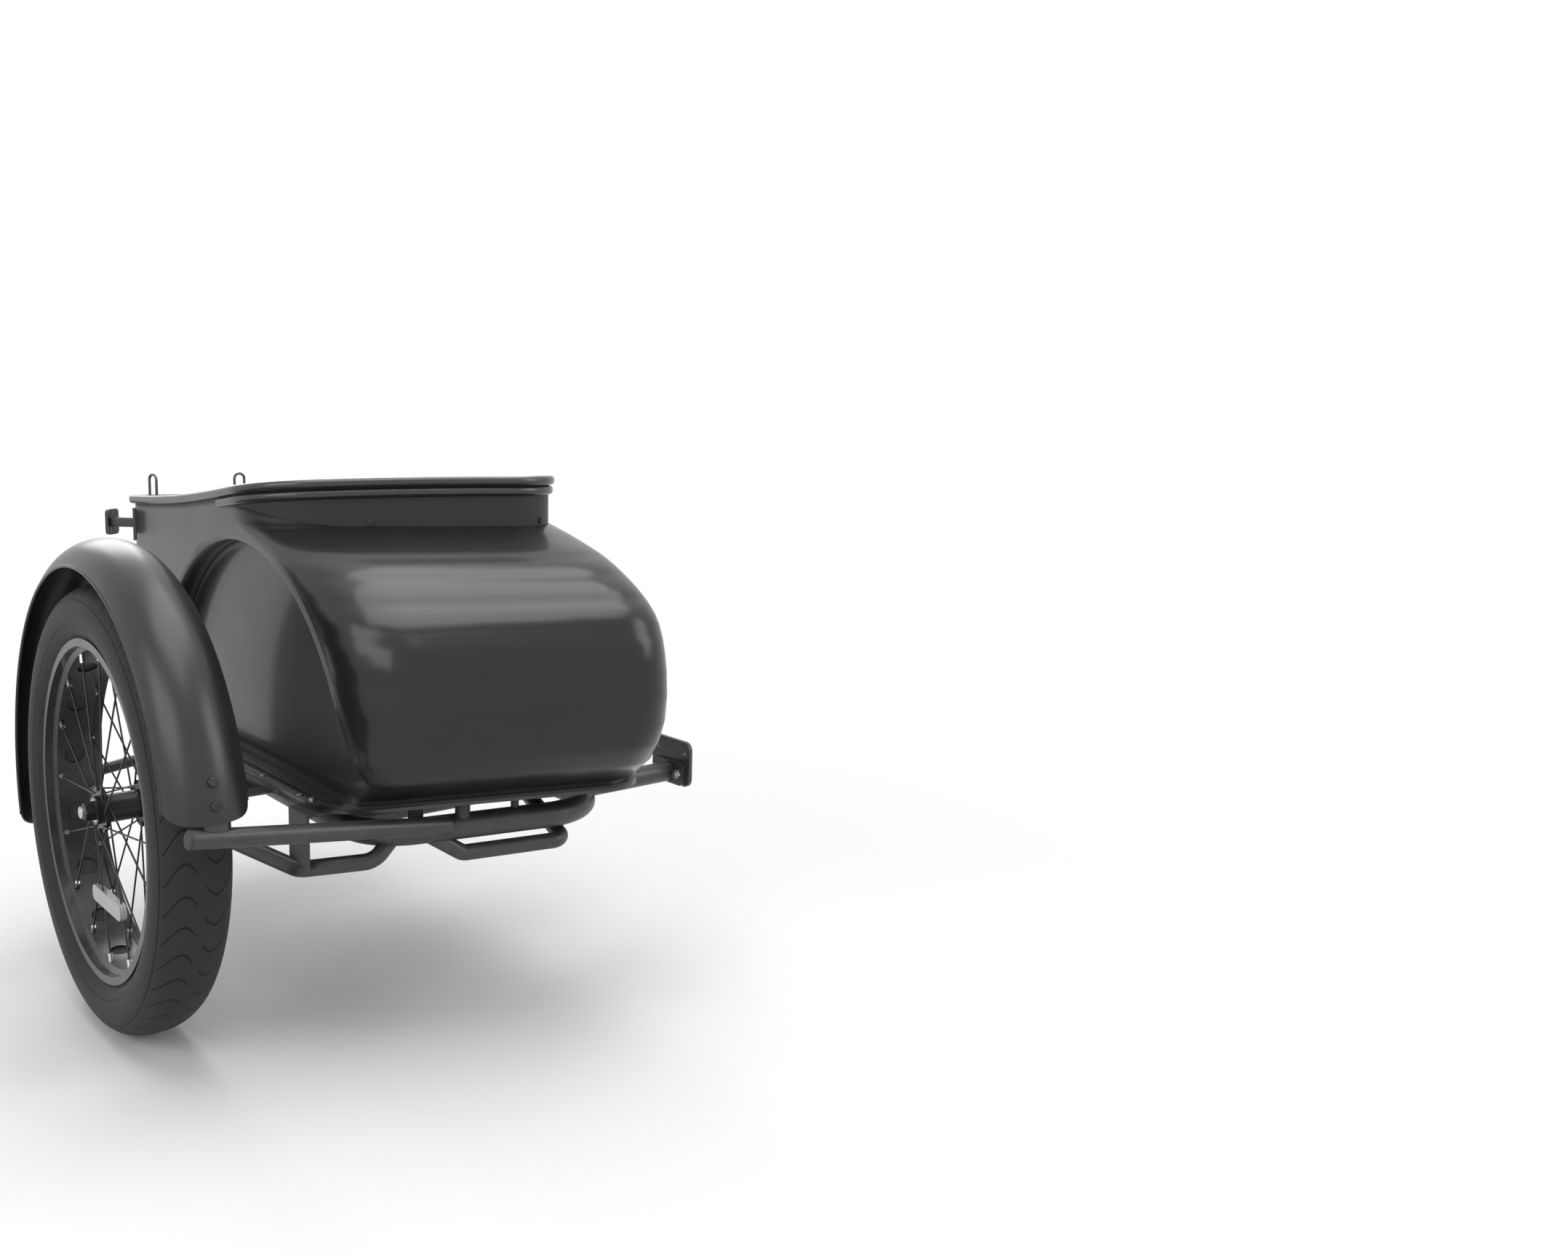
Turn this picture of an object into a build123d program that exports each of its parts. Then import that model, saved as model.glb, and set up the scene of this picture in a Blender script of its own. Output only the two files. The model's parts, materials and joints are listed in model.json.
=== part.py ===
from build123d import *
import math
import os

# Bicycle sidecar: a moulded tub on a tubular chassis, with one cantilevered wheel.
# X points forwards, Y towards the bicycle, Z up. All lengths are in millimetres.
# The origin is the centre of the bore in the rear mounting plate, on the bicycle's rear axle line.

# Layout
mount_height = 338.0          # rear mounting bore above the road
wheel_lead = 56.0             # sidecar axle ahead of the mounting bore
wheel_offset = 663.0          # wheel's middle plane outboard of the mounting bore
running_gap = 0.3             # clearance between pieces that do not touch
hole_clearance = 0.3          # radial clearance of a bolt in its hole

# Wheel, 20 inch with a wide tyre
tyre_radius = 276.0
tyre_width = 86.0
tyre_wall = 4.0
tread_thickness = 7.0
rim_lip_radius = 210.0
rim_width = 68.0
rim_wall = 2.5
rim_lip_width = 4.0
rim_well_depth = 13.0
rim_tape_thickness = 1.0
rim_cutouts = 16
rim_cutout_radius = 12.0
tube_wall = 2.0
spoke_count = 32
spoke_radius = 1.1
spoke_row_offset = 18.0
nipple_radius = 2.9
nipple_length = 13.0
hub_length = 62.0
hub_barrel_radius = 17.5
hub_flange_radius = 29.0
hub_flange_thickness = 4.0
hub_flange_spacing = 46.0
spoke_circle_radius = 24.0
bearing_radius = 14.0
bearing_width = 8.0
axle_radius = 7.5
axle_fit = 0.05
rim_seat_radius = 202.7
spoke_pair_angle = 7.0
spoke_cross_angle = 45.0
valve_length = 38.0
valve_radius = 3.2
valve_angle = 3.5
reflector_middle = (65.0, -177.0)
reflector_size = (108.0, 20.0)
reflector_inner = 16.0        # from the wheel's middle plane out to the reflector
reflector_thickness = 8.0

# Fender
fender_crown_radius = 330.0
fender_lip_radius = 298.0
fender_width = 90.0
fender_wall = 2.0
fender_front_angle = 9.6      # front end above the axle's height
fender_rear_angle = 17.0      # rear end below the axle's height
fender_bead = 2.0
fender_corner_angle = 6.0     # how far the end corners are cut back along the lips
fender_bolt_angles = [13.0, 17.5, 188.0]
tab_width = 24.0
tab_thickness = 2.5
tab_start_angle = 6.0
tab_angle = 15.0
stay_angle_below = 8.0        # the rear stay crosses behind the fender this far below the axle
stay_overhang = 27.0

# Tub
tub_inner_y = -150.0
tub_outer_y = -515.0
tub_rear_x = -379.0
tub_floor = -32.0
tub_wall = 4.0
rear_corner = 45.0
bracket_low = 224.0
bracket_high = 272.0
bracket_reach = 38.0
bracket_bolt_heights = (234.0, 264.0)
reflector_height = 249.0
rear_reflector_height = 38.0
flange_reach = 12.0
flange_thickness = 4.0
coaming_height = 282.0        # foot of the coaming at the front
rim_top = 343.0               # rim at the front
bead_height = 12.0
bead_width = 17.0
bead_overhang = 8.0
rivet_count = 20
rivet_radius = 1.6
rivet_head = 3.4
screw_radius = 1.8
screw_head = 3.8
screw_height = 288.0
coaming_screw_shares = (0.475, 0.52, 0.643)
lower_bead_height = 12.0
lower_bead_width = 6.0
arch_clearance = 46.0         # recess in the tub beside the wheel, outside the tyre
arch_depth = 26.0
shelf_bulge = 18.0            # floor flange reaches further out beside the wheel
shelf_radius = 600.0
shelf_length = 300.0

# Chassis
rail_radius = 16.0
rail_wall = 2.0
rail_height = -70.0
rail_inner_y = -175.0
rail_outer_y = -470.0
rail_rear_x = -270.0
rail_front_inner_x = 400.0
rail_front_outer_x = 330.0
rail_corner = 70.0
cross_radius = 14.0
rear_cross_x = -170.0
front_cross_x = 240.0
bumper_radius = 11.0
bumper_wall = 1.8
bumper_root_y = -345.0        # where the bumper tube leaves the front rail
bumper_end = (374.0, -688.0, -20.0)
brace_radius = 10.0
brace_wall = 1.5
brace_height = -108.0
outer_brace_y = -537.0
post_radius = 9.0
post_bolt_radius = 3.0
post_bolt_head = 6.0
slim_post_radius = 5.0
stay_radius = 8.0
stay_wall = 1.5
beam_radius = 15.0
beam_end_y = -575.0
carrier_radius = 20.0
axle_spacer_length = 10.0
axle_end_y = -710.0
washer_thickness = 2.2
nut_across_corners = 23.0
nut_thickness = 9.5
hanger_x = 286.0
hanger_width = 50.0
hanger_thickness = 4.0
hanger_bolt_y = -521.5
bumper_scarf_y = -385.0       # the bumper tube is cut off square here, inside the weld

# Bicycle side mounts
mount_plate_thickness = 6.0
mount_plate_width = 44.0
mount_bore_radius = 6.1
front_mount_x = 300.0
front_mount_height = -40.0
front_bolt_spacing = 60.0
front_bolt_radius = 4.2
arm_radius = 14.0
arm_flange_thickness = 5.0
plate_bolt_radius = 4.0
plate_bolt_head = 6.5
bolt_sink = 4.0               # depth of the counterbores that keep the mounting faces flush

# Seat
seat_width = 320.0
seat_depth = 330.0
seat_rear_x = -118.0
seat_board_height = 96.0      # top of the seat board
seat_board_thickness = 10.0
seat_box_wall = 3.0
seat_box_draw = 20.0
cushion_thickness = 60.0
cushion_crown = 12.0
cushion_side_bow = 5.0
channel_rise = 7.0
back_foot = 98.0
mat_rear_x = 214.0
mat_thickness = 3.0
mat_rib_height = 2.0
mat_rib_pitch = 18.0
mat_ribs = 16
back_board_thickness = 8.0
back_thickness = 48.0
back_height = 168.0
channel_count = 6
deck_depth = 205.0
deck_thickness = 3.0

# Derived places
road = -mount_height
axle_x = wheel_lead
wheel_y = -wheel_offset
axle_z = road + tyre_radius
tub_width = tub_inner_y - tub_outer_y
tub_middle_y = (tub_inner_y + tub_outer_y) / 2
rail_top = rail_height + rail_radius
rail_span = rail_inner_y - rail_outer_y
rail_skew = (rail_front_inner_x - rail_front_outer_x) / rail_span
hub_end_y = wheel_y + hub_length / 2
carrier_outer_y = hub_end_y + axle_spacer_length
far = 900.0                   # reach of cutting solids, past the whole sidecar
post_places = [(-200.0, rail_inner_y), (223.0, rail_inner_y), (-200.0, rail_outer_y),
               (223.0, rail_outer_y), (341.0, -418.0), (358.0, -365.0), (370.0, -300.0)]
slim_post = 6                 # which of the posts is the slim one

os.makedirs("parts", exist_ok=True)


def save(builder, label):
    """Labels a finished piece and writes it to its own file."""
    builder.part.label = label
    export_step(builder.part, "parts/" + label + ".step")
    print(label, round(builder.part.volume), builder.part.is_valid, len(builder.part.solids()))


def rail_front_x(y):
    """Returns where the front rail's middle line lies at a distance across the sidecar."""
    return rail_front_outer_x + (y - rail_outer_y) * rail_skew


def tube_along(points, bends, outer, inner=0.0, close=False):
    """Returns a round tube, or a bar with no inner radius, along a path of runs and bends."""
    with BuildPart() as tube:
        with BuildLine() as path:
            if len(points) == 2:
                Line(*points)
            else:
                FilletPolyline(*points, radius=bends, close=close)
        with BuildSketch(path.line ^ 0):
            Circle(outer)
            if inner:
                Circle(inner, mode=Mode.SUBTRACT)
        sweep()
    return tube.part


def tub_outline(front_inner_x, front_outer_x, inner_corner, outer_corner, grow=0.0):
    """Returns the tub's plan outline with its raked front, grown outwards by a distance."""
    slope = (front_inner_x - front_outer_x) / tub_width
    shift = grow * math.sqrt(1 + slope * slope)
    corners = [
        (tub_rear_x - grow, tub_inner_y + grow),
        (front_inner_x + slope * grow + shift, tub_inner_y + grow),
        (front_outer_x - slope * grow + shift, tub_outer_y - grow),
        (tub_rear_x - grow, tub_outer_y - grow),
    ]
    radii = [rear_corner + grow, inner_corner + grow, outer_corner + grow, rear_corner + grow]
    with BuildSketch() as outline:
        with BuildLine():
            FilletPolyline(*corners, radius=radii, close=True)
        make_face()
    return outline.sketch


# Tub sections from the floor to the foot of the coaming: height, front at the bicycle's side,
# front at the wheel's side, and the radii of the two front corners
tub_sections = [
    (tub_floor, 445.0, 325.0, 45.0, 70.0),
    (6.0, 500.0, 380.0, 50.0, 100.0),
    (59.0, 530.0, 405.0, 50.0, 110.0),
    (123.0, 533.0, 402.0, 50.0, 110.0),
    (177.0, 518.0, 380.0, 50.0, 110.0),
    (208.0, 486.0, 340.0, 50.0, 110.0),
    (234.0, 440.0, 290.0, 52.0, 110.0),
    (252.0, 396.0, 243.0, 54.0, 110.0),
    (270.0, 330.0, 175.0, 56.0, 110.0),
    (coaming_height, 280.0, 122.0, 60.0, 110.0),
]
section_steps = [1, 2, 2, 3, 3, 3, 3, 3, 2]
floor_section = tub_sections[0][1:]
rim_section = tub_sections[-1][1:]


def blended_sections():
    """Returns the tub sections with more blended in between, so that the cowl curves smoothly."""
    last = len(tub_sections) - 1
    sections = []
    for index, count in enumerate(section_steps):
        before = tub_sections[max(index - 1, 0)]
        start = tub_sections[index]
        end = tub_sections[index + 1]
        after = tub_sections[min(index + 2, last)]
        for step in range(count):
            share = step / count
            sections.append(tuple(
                b + 0.5 * share * ((c - a) + share * ((2 * a - 5 * b + 4 * c - d)
                                                      + share * (3 * b - a - 3 * c + d)))
                for a, b, c, d in zip(before, start, end, after)))
    sections.append(tub_sections[last])
    return sections


def inset_section(index, wall):
    """Returns a tub section moved inwards, square to the raked front, by the wall."""
    height, front_inner, front_outer, inner_corner, outer_corner = tub_sections[index]
    below = tub_sections[max(index - 1, 0)]
    above = tub_sections[min(index + 1, len(tub_sections) - 1)]
    rise = above[0] - below[0]
    run = above[1] - below[1]
    slant = math.hypot(rise, run)
    normal_x = rise / slant
    normal_z = -run / slant
    spare = wall * (1 - normal_x)
    inset_height = height - wall * normal_z
    return inset_height, front_inner + spare, front_outer + spare, inner_corner, outer_corner


def plan_prism(section, grow, low, high):
    """Returns an upright solid on a tub outline, between two heights."""
    with BuildPart() as prism:
        with BuildSketch(Plane.XY.offset(low)):
            add(tub_outline(*section, grow=grow))
        extrude(amount=high - low)
    return prism.part


def on_outside(edge, grow):
    """Tells whether an edge lies on the rim outline grown outwards by a distance."""
    outline = tub_outline(*rim_section, grow=grow).face().outer_wire()
    point = edge @ 0.5
    return outline.distance_to(Vector(point.X, point.Y, 0)) < 0.5


def below_curve(points, low):
    """Returns the solid under a smooth side profile, right across the sidecar."""
    with BuildPart() as solid:
        with BuildSketch(Plane.XZ.offset(far)):
            with BuildLine():
                Spline(*points)
                Polyline(points[0], (points[0][0], low), (points[-1][0], low), points[-1])
            make_face()
        extrude(amount=-2 * far)
    return solid.part


def outline_places(section, grow, shares):
    """Returns points and outward directions on a tub outline, at shares of the way round it."""
    outline = tub_outline(*section, grow=grow).face().outer_wire()
    middle = Vector(0, tub_middle_y, 0)
    places = []
    for share in shares:
        point = outline.position_at(share)
        normal = outline.tangent_at(share).cross(Vector(0, 0, 1)).normalized()
        if normal.dot(point - middle) < 0:
            normal = normal * -1
        places.append((point, normal))
    return places


corner_x = tub_rear_x + rear_corner
corner_y = tub_outer_y + rear_corner
corner_direction = Vector(-math.sqrt(0.5), -math.sqrt(0.5), 0)
corner_across = Vector(math.sqrt(0.5), -math.sqrt(0.5), 0)


def at_corner(reach, height, across=0.0):
    """Returns a point beside the tub's rear corner, measured out from the corner's centre."""
    return Vector(corner_x, corner_y, height) + corner_direction * reach + corner_across * across


rivet_places = [(point.X, point.Y) for point, normal in outline_places(
    floor_section, flange_reach * 0.6, [index / rivet_count for index in range(rivet_count)])
    if normal.X < 0.2]
screw_places = outline_places(rim_section, 0, coaming_screw_shares)

# Side profiles of the rim's top and of the joint where the coaming stands on the tub
rim_profile = [(-400, 289), (-250, 297), (-127, 307), (44, 328), (150, 341), (340, rim_top)]
joint_profile = [(-95, 306), (-20, 308), (45, 306), (95, 299), (135, 289), (185, 276)]
seat_profile = [(x, z - bead_height) for x, z in rim_profile]

rim_solid = below_curve(rim_profile, tub_floor)
seat_solid = below_curve(seat_profile, tub_floor)
with BuildPart() as coaming_zone:
    with BuildSketch(Plane.XZ.offset(far)):
        with BuildLine():
            Spline(*joint_profile)
            Polyline(joint_profile[-1], (far, joint_profile[-1][1]), (far, far), (joint_profile[0][0], far),
                     joint_profile[0])
        make_face()
    extrude(amount=-2 * far)

# Tub shell: lofted sides and cowl, with upright walls above the foot of the coaming
with BuildPart() as arch_recess:
    with BuildSketch(Plane.XZ.offset(-tub_outer_y - arch_depth)):
        with Locations((axle_x, axle_z)):
            Circle(tyre_radius + arch_clearance)
    extrude(amount=far)
with BuildPart() as arch_recess_inside:
    with BuildSketch(Plane.XZ.offset(-tub_outer_y - arch_depth - tub_wall)):
        with Locations((axle_x, axle_z)):
            Circle(tyre_radius + arch_clearance + tub_wall)
    extrude(amount=far)

with BuildPart() as tub_cavity:
    for index in range(len(tub_sections) - 1):
        height, *section = inset_section(index, tub_wall)
        with BuildSketch(Plane.XY.offset(height if index else tub_floor - 1)):
            add(tub_outline(*section, grow=-tub_wall))
    with BuildSketch(Plane.XY.offset(coaming_height - tub_wall)):
        add(tub_outline(*rim_section, grow=-tub_wall))
    loft(ruled=True)
    add(plan_prism(rim_section, -tub_wall, coaming_height - tub_wall, rim_top + 20))
    add(arch_recess_inside.part, mode=Mode.SUBTRACT)

with BuildPart() as upper_walls:
    add(plan_prism(rim_section, 0, coaming_height, rim_top + 20))
    add(seat_solid, mode=Mode.INTERSECT)
    add(coaming_zone.part, mode=Mode.SUBTRACT)

with BuildPart() as above_seat:
    add(plan_prism(rim_section, bead_overhang, coaming_height - 20, rim_top))
    add(seat_solid, mode=Mode.SUBTRACT)

with BuildPart() as tub_shell:
    for height, *section in blended_sections():
        with BuildSketch(Plane.XY.offset(height)):
            add(tub_outline(*section))
    loft(ruled=True)
    add(upper_walls.part)
    add(above_seat.part, mode=Mode.SUBTRACT)
    add(arch_recess.part, mode=Mode.SUBTRACT)
    add(tub_cavity.part, mode=Mode.SUBTRACT)
    with BuildSketch(Plane.XY.offset(tub_floor)):
        add(tub_outline(*floor_section, grow=flange_reach))
        add(tub_outline(*floor_section, grow=-tub_wall), mode=Mode.SUBTRACT)
    extrude(amount=flange_thickness)
    with Locations(*[(x, y, tub_floor) for x, y in rivet_places]):
        Cylinder(rivet_radius + hole_clearance, 3 * flange_thickness, mode=Mode.SUBTRACT)
    with Locations((hanger_x, hanger_bolt_y, tub_floor)):
        Cylinder(post_bolt_radius + hole_clearance, 3 * flange_thickness, mode=Mode.SUBTRACT)
    with Locations(*[(x, y, tub_floor) for x, y in post_places]):
        Cylinder(post_bolt_head + 1, 6, align=(Align.CENTER, Align.CENTER, Align.MIN), mode=Mode.SUBTRACT)
    for height in bracket_bolt_heights:
        with BuildSketch(Plane(origin=at_corner(rear_corner - 8, height), z_dir=corner_direction)):
            Circle(2.5 + hole_clearance)
        extrude(amount=16, mode=Mode.SUBTRACT)
save(tub_shell, "tub_shell")

# Floor pan: a moulded floor with a flange that bulges out as a shelf beside the wheel
with BuildSketch() as shelf:
    with Locations((axle_x, tub_outer_y - flange_reach - shelf_bulge + shelf_radius)):
        Circle(shelf_radius)
    with Locations((axle_x, tub_middle_y)):
        Rectangle(shelf_length, far, align=(Align.CENTER, Align.MAX), mode=Mode.INTERSECT)
with BuildPart() as floor_pan:
    with BuildSketch(Plane.XY.offset(tub_floor - flange_thickness)):
        add(tub_outline(*floor_section, grow=flange_reach))
        add(shelf.sketch)
    extrude(amount=flange_thickness)
    with Locations(*[(x, y, tub_floor) for x, y in post_places]):
        Cylinder(post_bolt_radius + hole_clearance, 4 * flange_thickness, mode=Mode.SUBTRACT)
    with Locations(*[(x, y, tub_floor) for x, y in rivet_places]):
        Cylinder(rivet_radius + hole_clearance, 4 * flange_thickness, mode=Mode.SUBTRACT)
    with Locations((hanger_x, hanger_bolt_y, tub_floor)):
        Cylinder(post_bolt_radius + hole_clearance, 4 * flange_thickness, mode=Mode.SUBTRACT)
save(floor_pan, "floor_pan")

# Coaming: the upright band in front of the cockpit, and the round bead along its foot
with BuildPart() as cockpit_coaming:
    add(plan_prism(rim_section, 0, coaming_height, rim_top + 20))
    add(plan_prism(rim_section, -tub_wall, coaming_height - 1, rim_top + 21), mode=Mode.SUBTRACT)
    add(seat_solid, mode=Mode.INTERSECT)
    add(coaming_zone.part, mode=Mode.INTERSECT)
    for point, normal in screw_places:
        with BuildSketch(Plane(origin=Vector(point.X, point.Y, screw_height) - normal * 10, z_dir=normal)):
            Circle(screw_radius + hole_clearance)
        extrude(amount=20, mode=Mode.SUBTRACT)
save(cockpit_coaming, "cockpit_coaming")

with BuildPart() as coaming_screws:
    for point, normal in screw_places:
        face = Vector(point.X, point.Y, screw_height) + normal * 0.2
        with BuildSketch(Plane(origin=face, z_dir=normal)):
            Circle(screw_head)
        extrude(amount=2.0)
        with BuildSketch(Plane(origin=face, z_dir=normal)):
            Circle(screw_radius)
        extrude(amount=-tub_wall - 3)
save(coaming_screws, "coaming_screws")

with BuildPart() as flange_rivets:
    with Locations(*[(x, y, tub_floor + flange_thickness) for x, y in rivet_places]):
        Cylinder(rivet_head, 1.6, align=(Align.CENTER, Align.CENTER, Align.MIN))
        Cylinder(rivet_radius, 2 * flange_thickness + 1.5, align=(Align.CENTER, Align.CENTER, Align.MAX))
save(flange_rivets, "flange_rivets")

lower_bead_top = [(x, z - bead_height - 1) for x, z in rim_profile]
lower_bead_foot = [(x, z - bead_height - 1 - lower_bead_height) for x, z in rim_profile]
with BuildPart() as coaming_bead:
    add(plan_prism(rim_section, lower_bead_width, coaming_height - 20, rim_top + 20))
    add(plan_prism(rim_section, 0, coaming_height - 21, rim_top + 21), mode=Mode.SUBTRACT)
    add(below_curve(lower_bead_top, tub_floor), mode=Mode.INTERSECT)
    add(below_curve(lower_bead_foot, tub_floor - 1), mode=Mode.SUBTRACT)
    with Locations((0, tub_middle_y, rim_top)):
        Box(far, far, far, align=(Align.MIN, Align.CENTER, Align.CENTER), mode=Mode.INTERSECT)
    fillet(coaming_bead.edges().filter_by(lambda edge: edge.length > 60).filter_by(
        lambda edge: on_outside(edge, lower_bead_width)), radius=5.0)
save(coaming_bead, "coaming_bead")

with BuildPart() as rim_bead:
    add(plan_prism(rim_section, bead_overhang, coaming_height - 20, rim_top + 20))
    add(plan_prism(rim_section, bead_overhang - bead_width, coaming_height - 21, rim_top + 21),
        mode=Mode.SUBTRACT)
    add(rim_solid, mode=Mode.INTERSECT)
    add(seat_solid, mode=Mode.SUBTRACT)
    fillet(rim_bead.edges().filter_by(lambda edge: edge.length > 20), radius=5.0)
save(rim_bead, "rim_bead")

# Rear deck: a shelf across the back of the cockpit, with a lip turned down in front
deck_front_x = tub_rear_x + deck_depth
deck_height = 277.0
with BuildPart() as rear_deck:
    add(plan_prism(rim_section, -tub_wall - running_gap, deck_height - deck_thickness, deck_height))
    with Locations((deck_front_x, tub_middle_y, deck_height)):
        Box(far, far, far, align=(Align.MAX, Align.CENTER, Align.CENTER), mode=Mode.INTERSECT)
    with Locations((deck_front_x, tub_middle_y, deck_height)):
        Box(deck_thickness, tub_width - 2 * tub_wall - 2, 16, align=(Align.MAX, Align.CENTER, Align.MAX))
    fillet(rear_deck.edges().filter_by(Axis.Y).sort_by(Axis.Z)[-1], radius=deck_thickness * 0.8)
save(rear_deck, "rear_deck")

# Wire tie-down loops: two stand on the deck and one on the wall beside the bicycle
loop_wire = 1.9
loop_width = 15.0
loop_height = 42.0
loop_base_thickness = 2.5
wall_loop_x = -114.0
deck_loops = [((-344, -488), 20), ((-352, -358), 90)]


def loop_wires(turn):
    """Returns one bent wire loop with straight legs, standing on its own origin."""
    leg = loop_height - loop_width / 2
    half = loop_width / 2
    with BuildPart() as wire:
        with BuildLine() as path:
            Line((-half, 0, 0), (-half, 0, leg))
            ThreePointArc((-half, 0, leg), (0, 0, leg + half), (half, 0, leg))
            Line((half, 0, leg), (half, 0, 0))
        with BuildSketch(path.line ^ 0):
            Circle(loop_wire)
        sweep()
    return wire.part.rotate(Axis.Z, turn)


with BuildPart() as tie_down_loops:
    for (x, y), turn in deck_loops:
        with Locations((x, y, deck_height)):
            Cylinder(14, loop_base_thickness, align=(Align.CENTER, Align.CENTER, Align.MIN))
        add(loop_wires(turn).moved(Location((x, y, deck_height + loop_base_thickness))))
    wall_loop_y = tub_inner_y - tub_wall - bead_width + bead_overhang + 1 - loop_wire
    wall_loop_foot = 276.0
    with Locations((wall_loop_x, tub_inner_y - tub_wall, wall_loop_foot)):
        Box(32, 8, 16, align=(Align.CENTER, Align.MAX, Align.CENTER))
    add(loop_wires(0).moved(Location((wall_loop_x, tub_inner_y - tub_wall - 10, wall_loop_foot + 2))))
    with Locations((wall_loop_x, tub_inner_y - tub_wall - 8, wall_loop_foot)):
        Box(24, 5, 12, align=(Align.CENTER, Align.MAX, Align.CENTER))
save(tie_down_loops, "tie_down_loops")

# Seat: a moulded box on the floor, a board, and cushions with crowned, piped channels
seat_middle_y = (tub_inner_y - tub_wall + tub_outer_y + arch_depth + tub_wall) / 2
seat_front_x = seat_rear_x + seat_depth
seat_middle_x = (seat_rear_x + seat_front_x) / 2
board_under = seat_board_height - seat_board_thickness
with BuildPart() as seat_box_hollow:
    with BuildSketch(Plane.XY.offset(tub_floor)):
        with Locations((seat_middle_x, seat_middle_y)):
            RectangleRounded(seat_depth - seat_box_draw - 2 * seat_box_wall,
                             seat_width - seat_box_draw - 2 * seat_box_wall, 22)
    with BuildSketch(Plane.XY.offset(board_under - seat_box_wall)):
        with Locations((seat_middle_x, seat_middle_y)):
            RectangleRounded(seat_depth - 2 * seat_box_wall, seat_width - 2 * seat_box_wall, 22)
    loft()
with BuildPart() as seat_box:
    with BuildSketch(Plane.XY.offset(tub_floor)):
        with Locations((seat_middle_x, seat_middle_y)):
            RectangleRounded(seat_depth - seat_box_draw, seat_width - seat_box_draw, 25)
    with BuildSketch(Plane.XY.offset(board_under)):
        with Locations((seat_middle_x, seat_middle_y)):
            RectangleRounded(seat_depth, seat_width, 25)
    loft()
    add(seat_box_hollow.part, mode=Mode.SUBTRACT)
save(seat_box, "seat_box")

with BuildPart() as seat_board:
    with BuildSketch(Plane.XY.offset(board_under)):
        with Locations((seat_middle_x, seat_middle_y)):
            RectangleRounded(seat_depth, seat_width, 25)
    extrude(amount=seat_board_thickness)
save(seat_board, "seat_board")


def channel_profile(width, thickness, crown, count):
    """Returns a cushion's section: a flat back, bowed sides and rounded channels on a crown."""
    seam_width = width - 2 * cushion_side_bow
    pitch = seam_width / count
    crown_radius = (seam_width * seam_width / 4 + crown * crown) / (2 * crown)
    base = thickness - crown - channel_rise

    def crown_at(across):
        return base + math.sqrt(crown_radius ** 2 - across ** 2) - (crown_radius - crown)

    seams = [-seam_width / 2 + pitch * index for index in range(count + 1)]
    side = seam_width / 2
    with BuildSketch() as profile:
        with BuildLine():
            for left, right in zip(seams, seams[1:]):
                middle = (left + right) / 2
                ThreePointArc((left, crown_at(left)), (middle, crown_at(middle) + channel_rise),
                              (right, crown_at(right)))
            ThreePointArc((-side, base), (-width / 2, base / 2), (-side, 0))
            Line((-side, 0), (side, 0))
            ThreePointArc((side, 0), (width / 2, base / 2), (side, base))
        make_face()
    return profile.sketch


cushion_width = seat_width - 8
cushion_foot = seat_board_height + running_gap
with BuildPart() as seat_cushion:
    with BuildSketch(Plane(origin=(seat_rear_x, seat_middle_y, cushion_foot), x_dir=(0, 1, 0),
                           z_dir=(1, 0, 0))):
        add(channel_profile(cushion_width, cushion_thickness, cushion_crown, channel_count))
    extrude(amount=seat_depth)
    with BuildSketch(Plane.XZ.offset(far)) as cushion_side:
        with Locations((seat_middle_x, cushion_foot)):
            Rectangle(seat_depth - 4, cushion_thickness + 2, align=(Align.CENTER, Align.MIN))
        fillet(cushion_side.vertices().group_by(Axis.X)[-1].sort_by(Axis.Y)[-1], radius=26)
        fillet(cushion_side.vertices().group_by(Axis.X)[0].sort_by(Axis.Y)[-1], radius=14)
        fillet(cushion_side.vertices().group_by(Axis.X)[-1].sort_by(Axis.Y)[0], radius=10)
    extrude(amount=-2 * far, mode=Mode.INTERSECT)
save(seat_cushion, "seat_cushion")

back_rear_x = seat_rear_x - back_thickness - 1
with BuildPart() as back_board:
    with BuildSketch(Plane.XY.offset(tub_floor)):
        with Locations((back_rear_x, seat_middle_y)):
            Rectangle(back_board_thickness, seat_width, align=(Align.MAX, Align.CENTER))
    extrude(amount=back_foot + back_height - 5 - tub_floor)
save(back_board, "back_board")

with BuildPart() as back_cushion:
    with BuildSketch(Plane(origin=(back_rear_x + running_gap, seat_middle_y, back_foot), x_dir=(0, 1, 0),
                           z_dir=(0, 0, 1))):
        add(channel_profile(cushion_width, back_thickness, cushion_crown, channel_count).mirror(Plane.XZ))
    extrude(amount=back_height)
    with BuildSketch(Plane.XZ.offset(far)) as back_side:
        with Locations((back_rear_x + running_gap, back_foot)):
            Rectangle(back_thickness + 2, back_height, align=(Align.MIN, Align.MIN))
        fillet(back_side.vertices().group_by(Axis.X)[-1].sort_by(Axis.Y)[-1], radius=22)
        fillet(back_side.vertices().group_by(Axis.X)[-1].sort_by(Axis.Y)[0], radius=12)
    extrude(amount=-2 * far, mode=Mode.INTERSECT)
save(back_cushion, "back_cushion")

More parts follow.
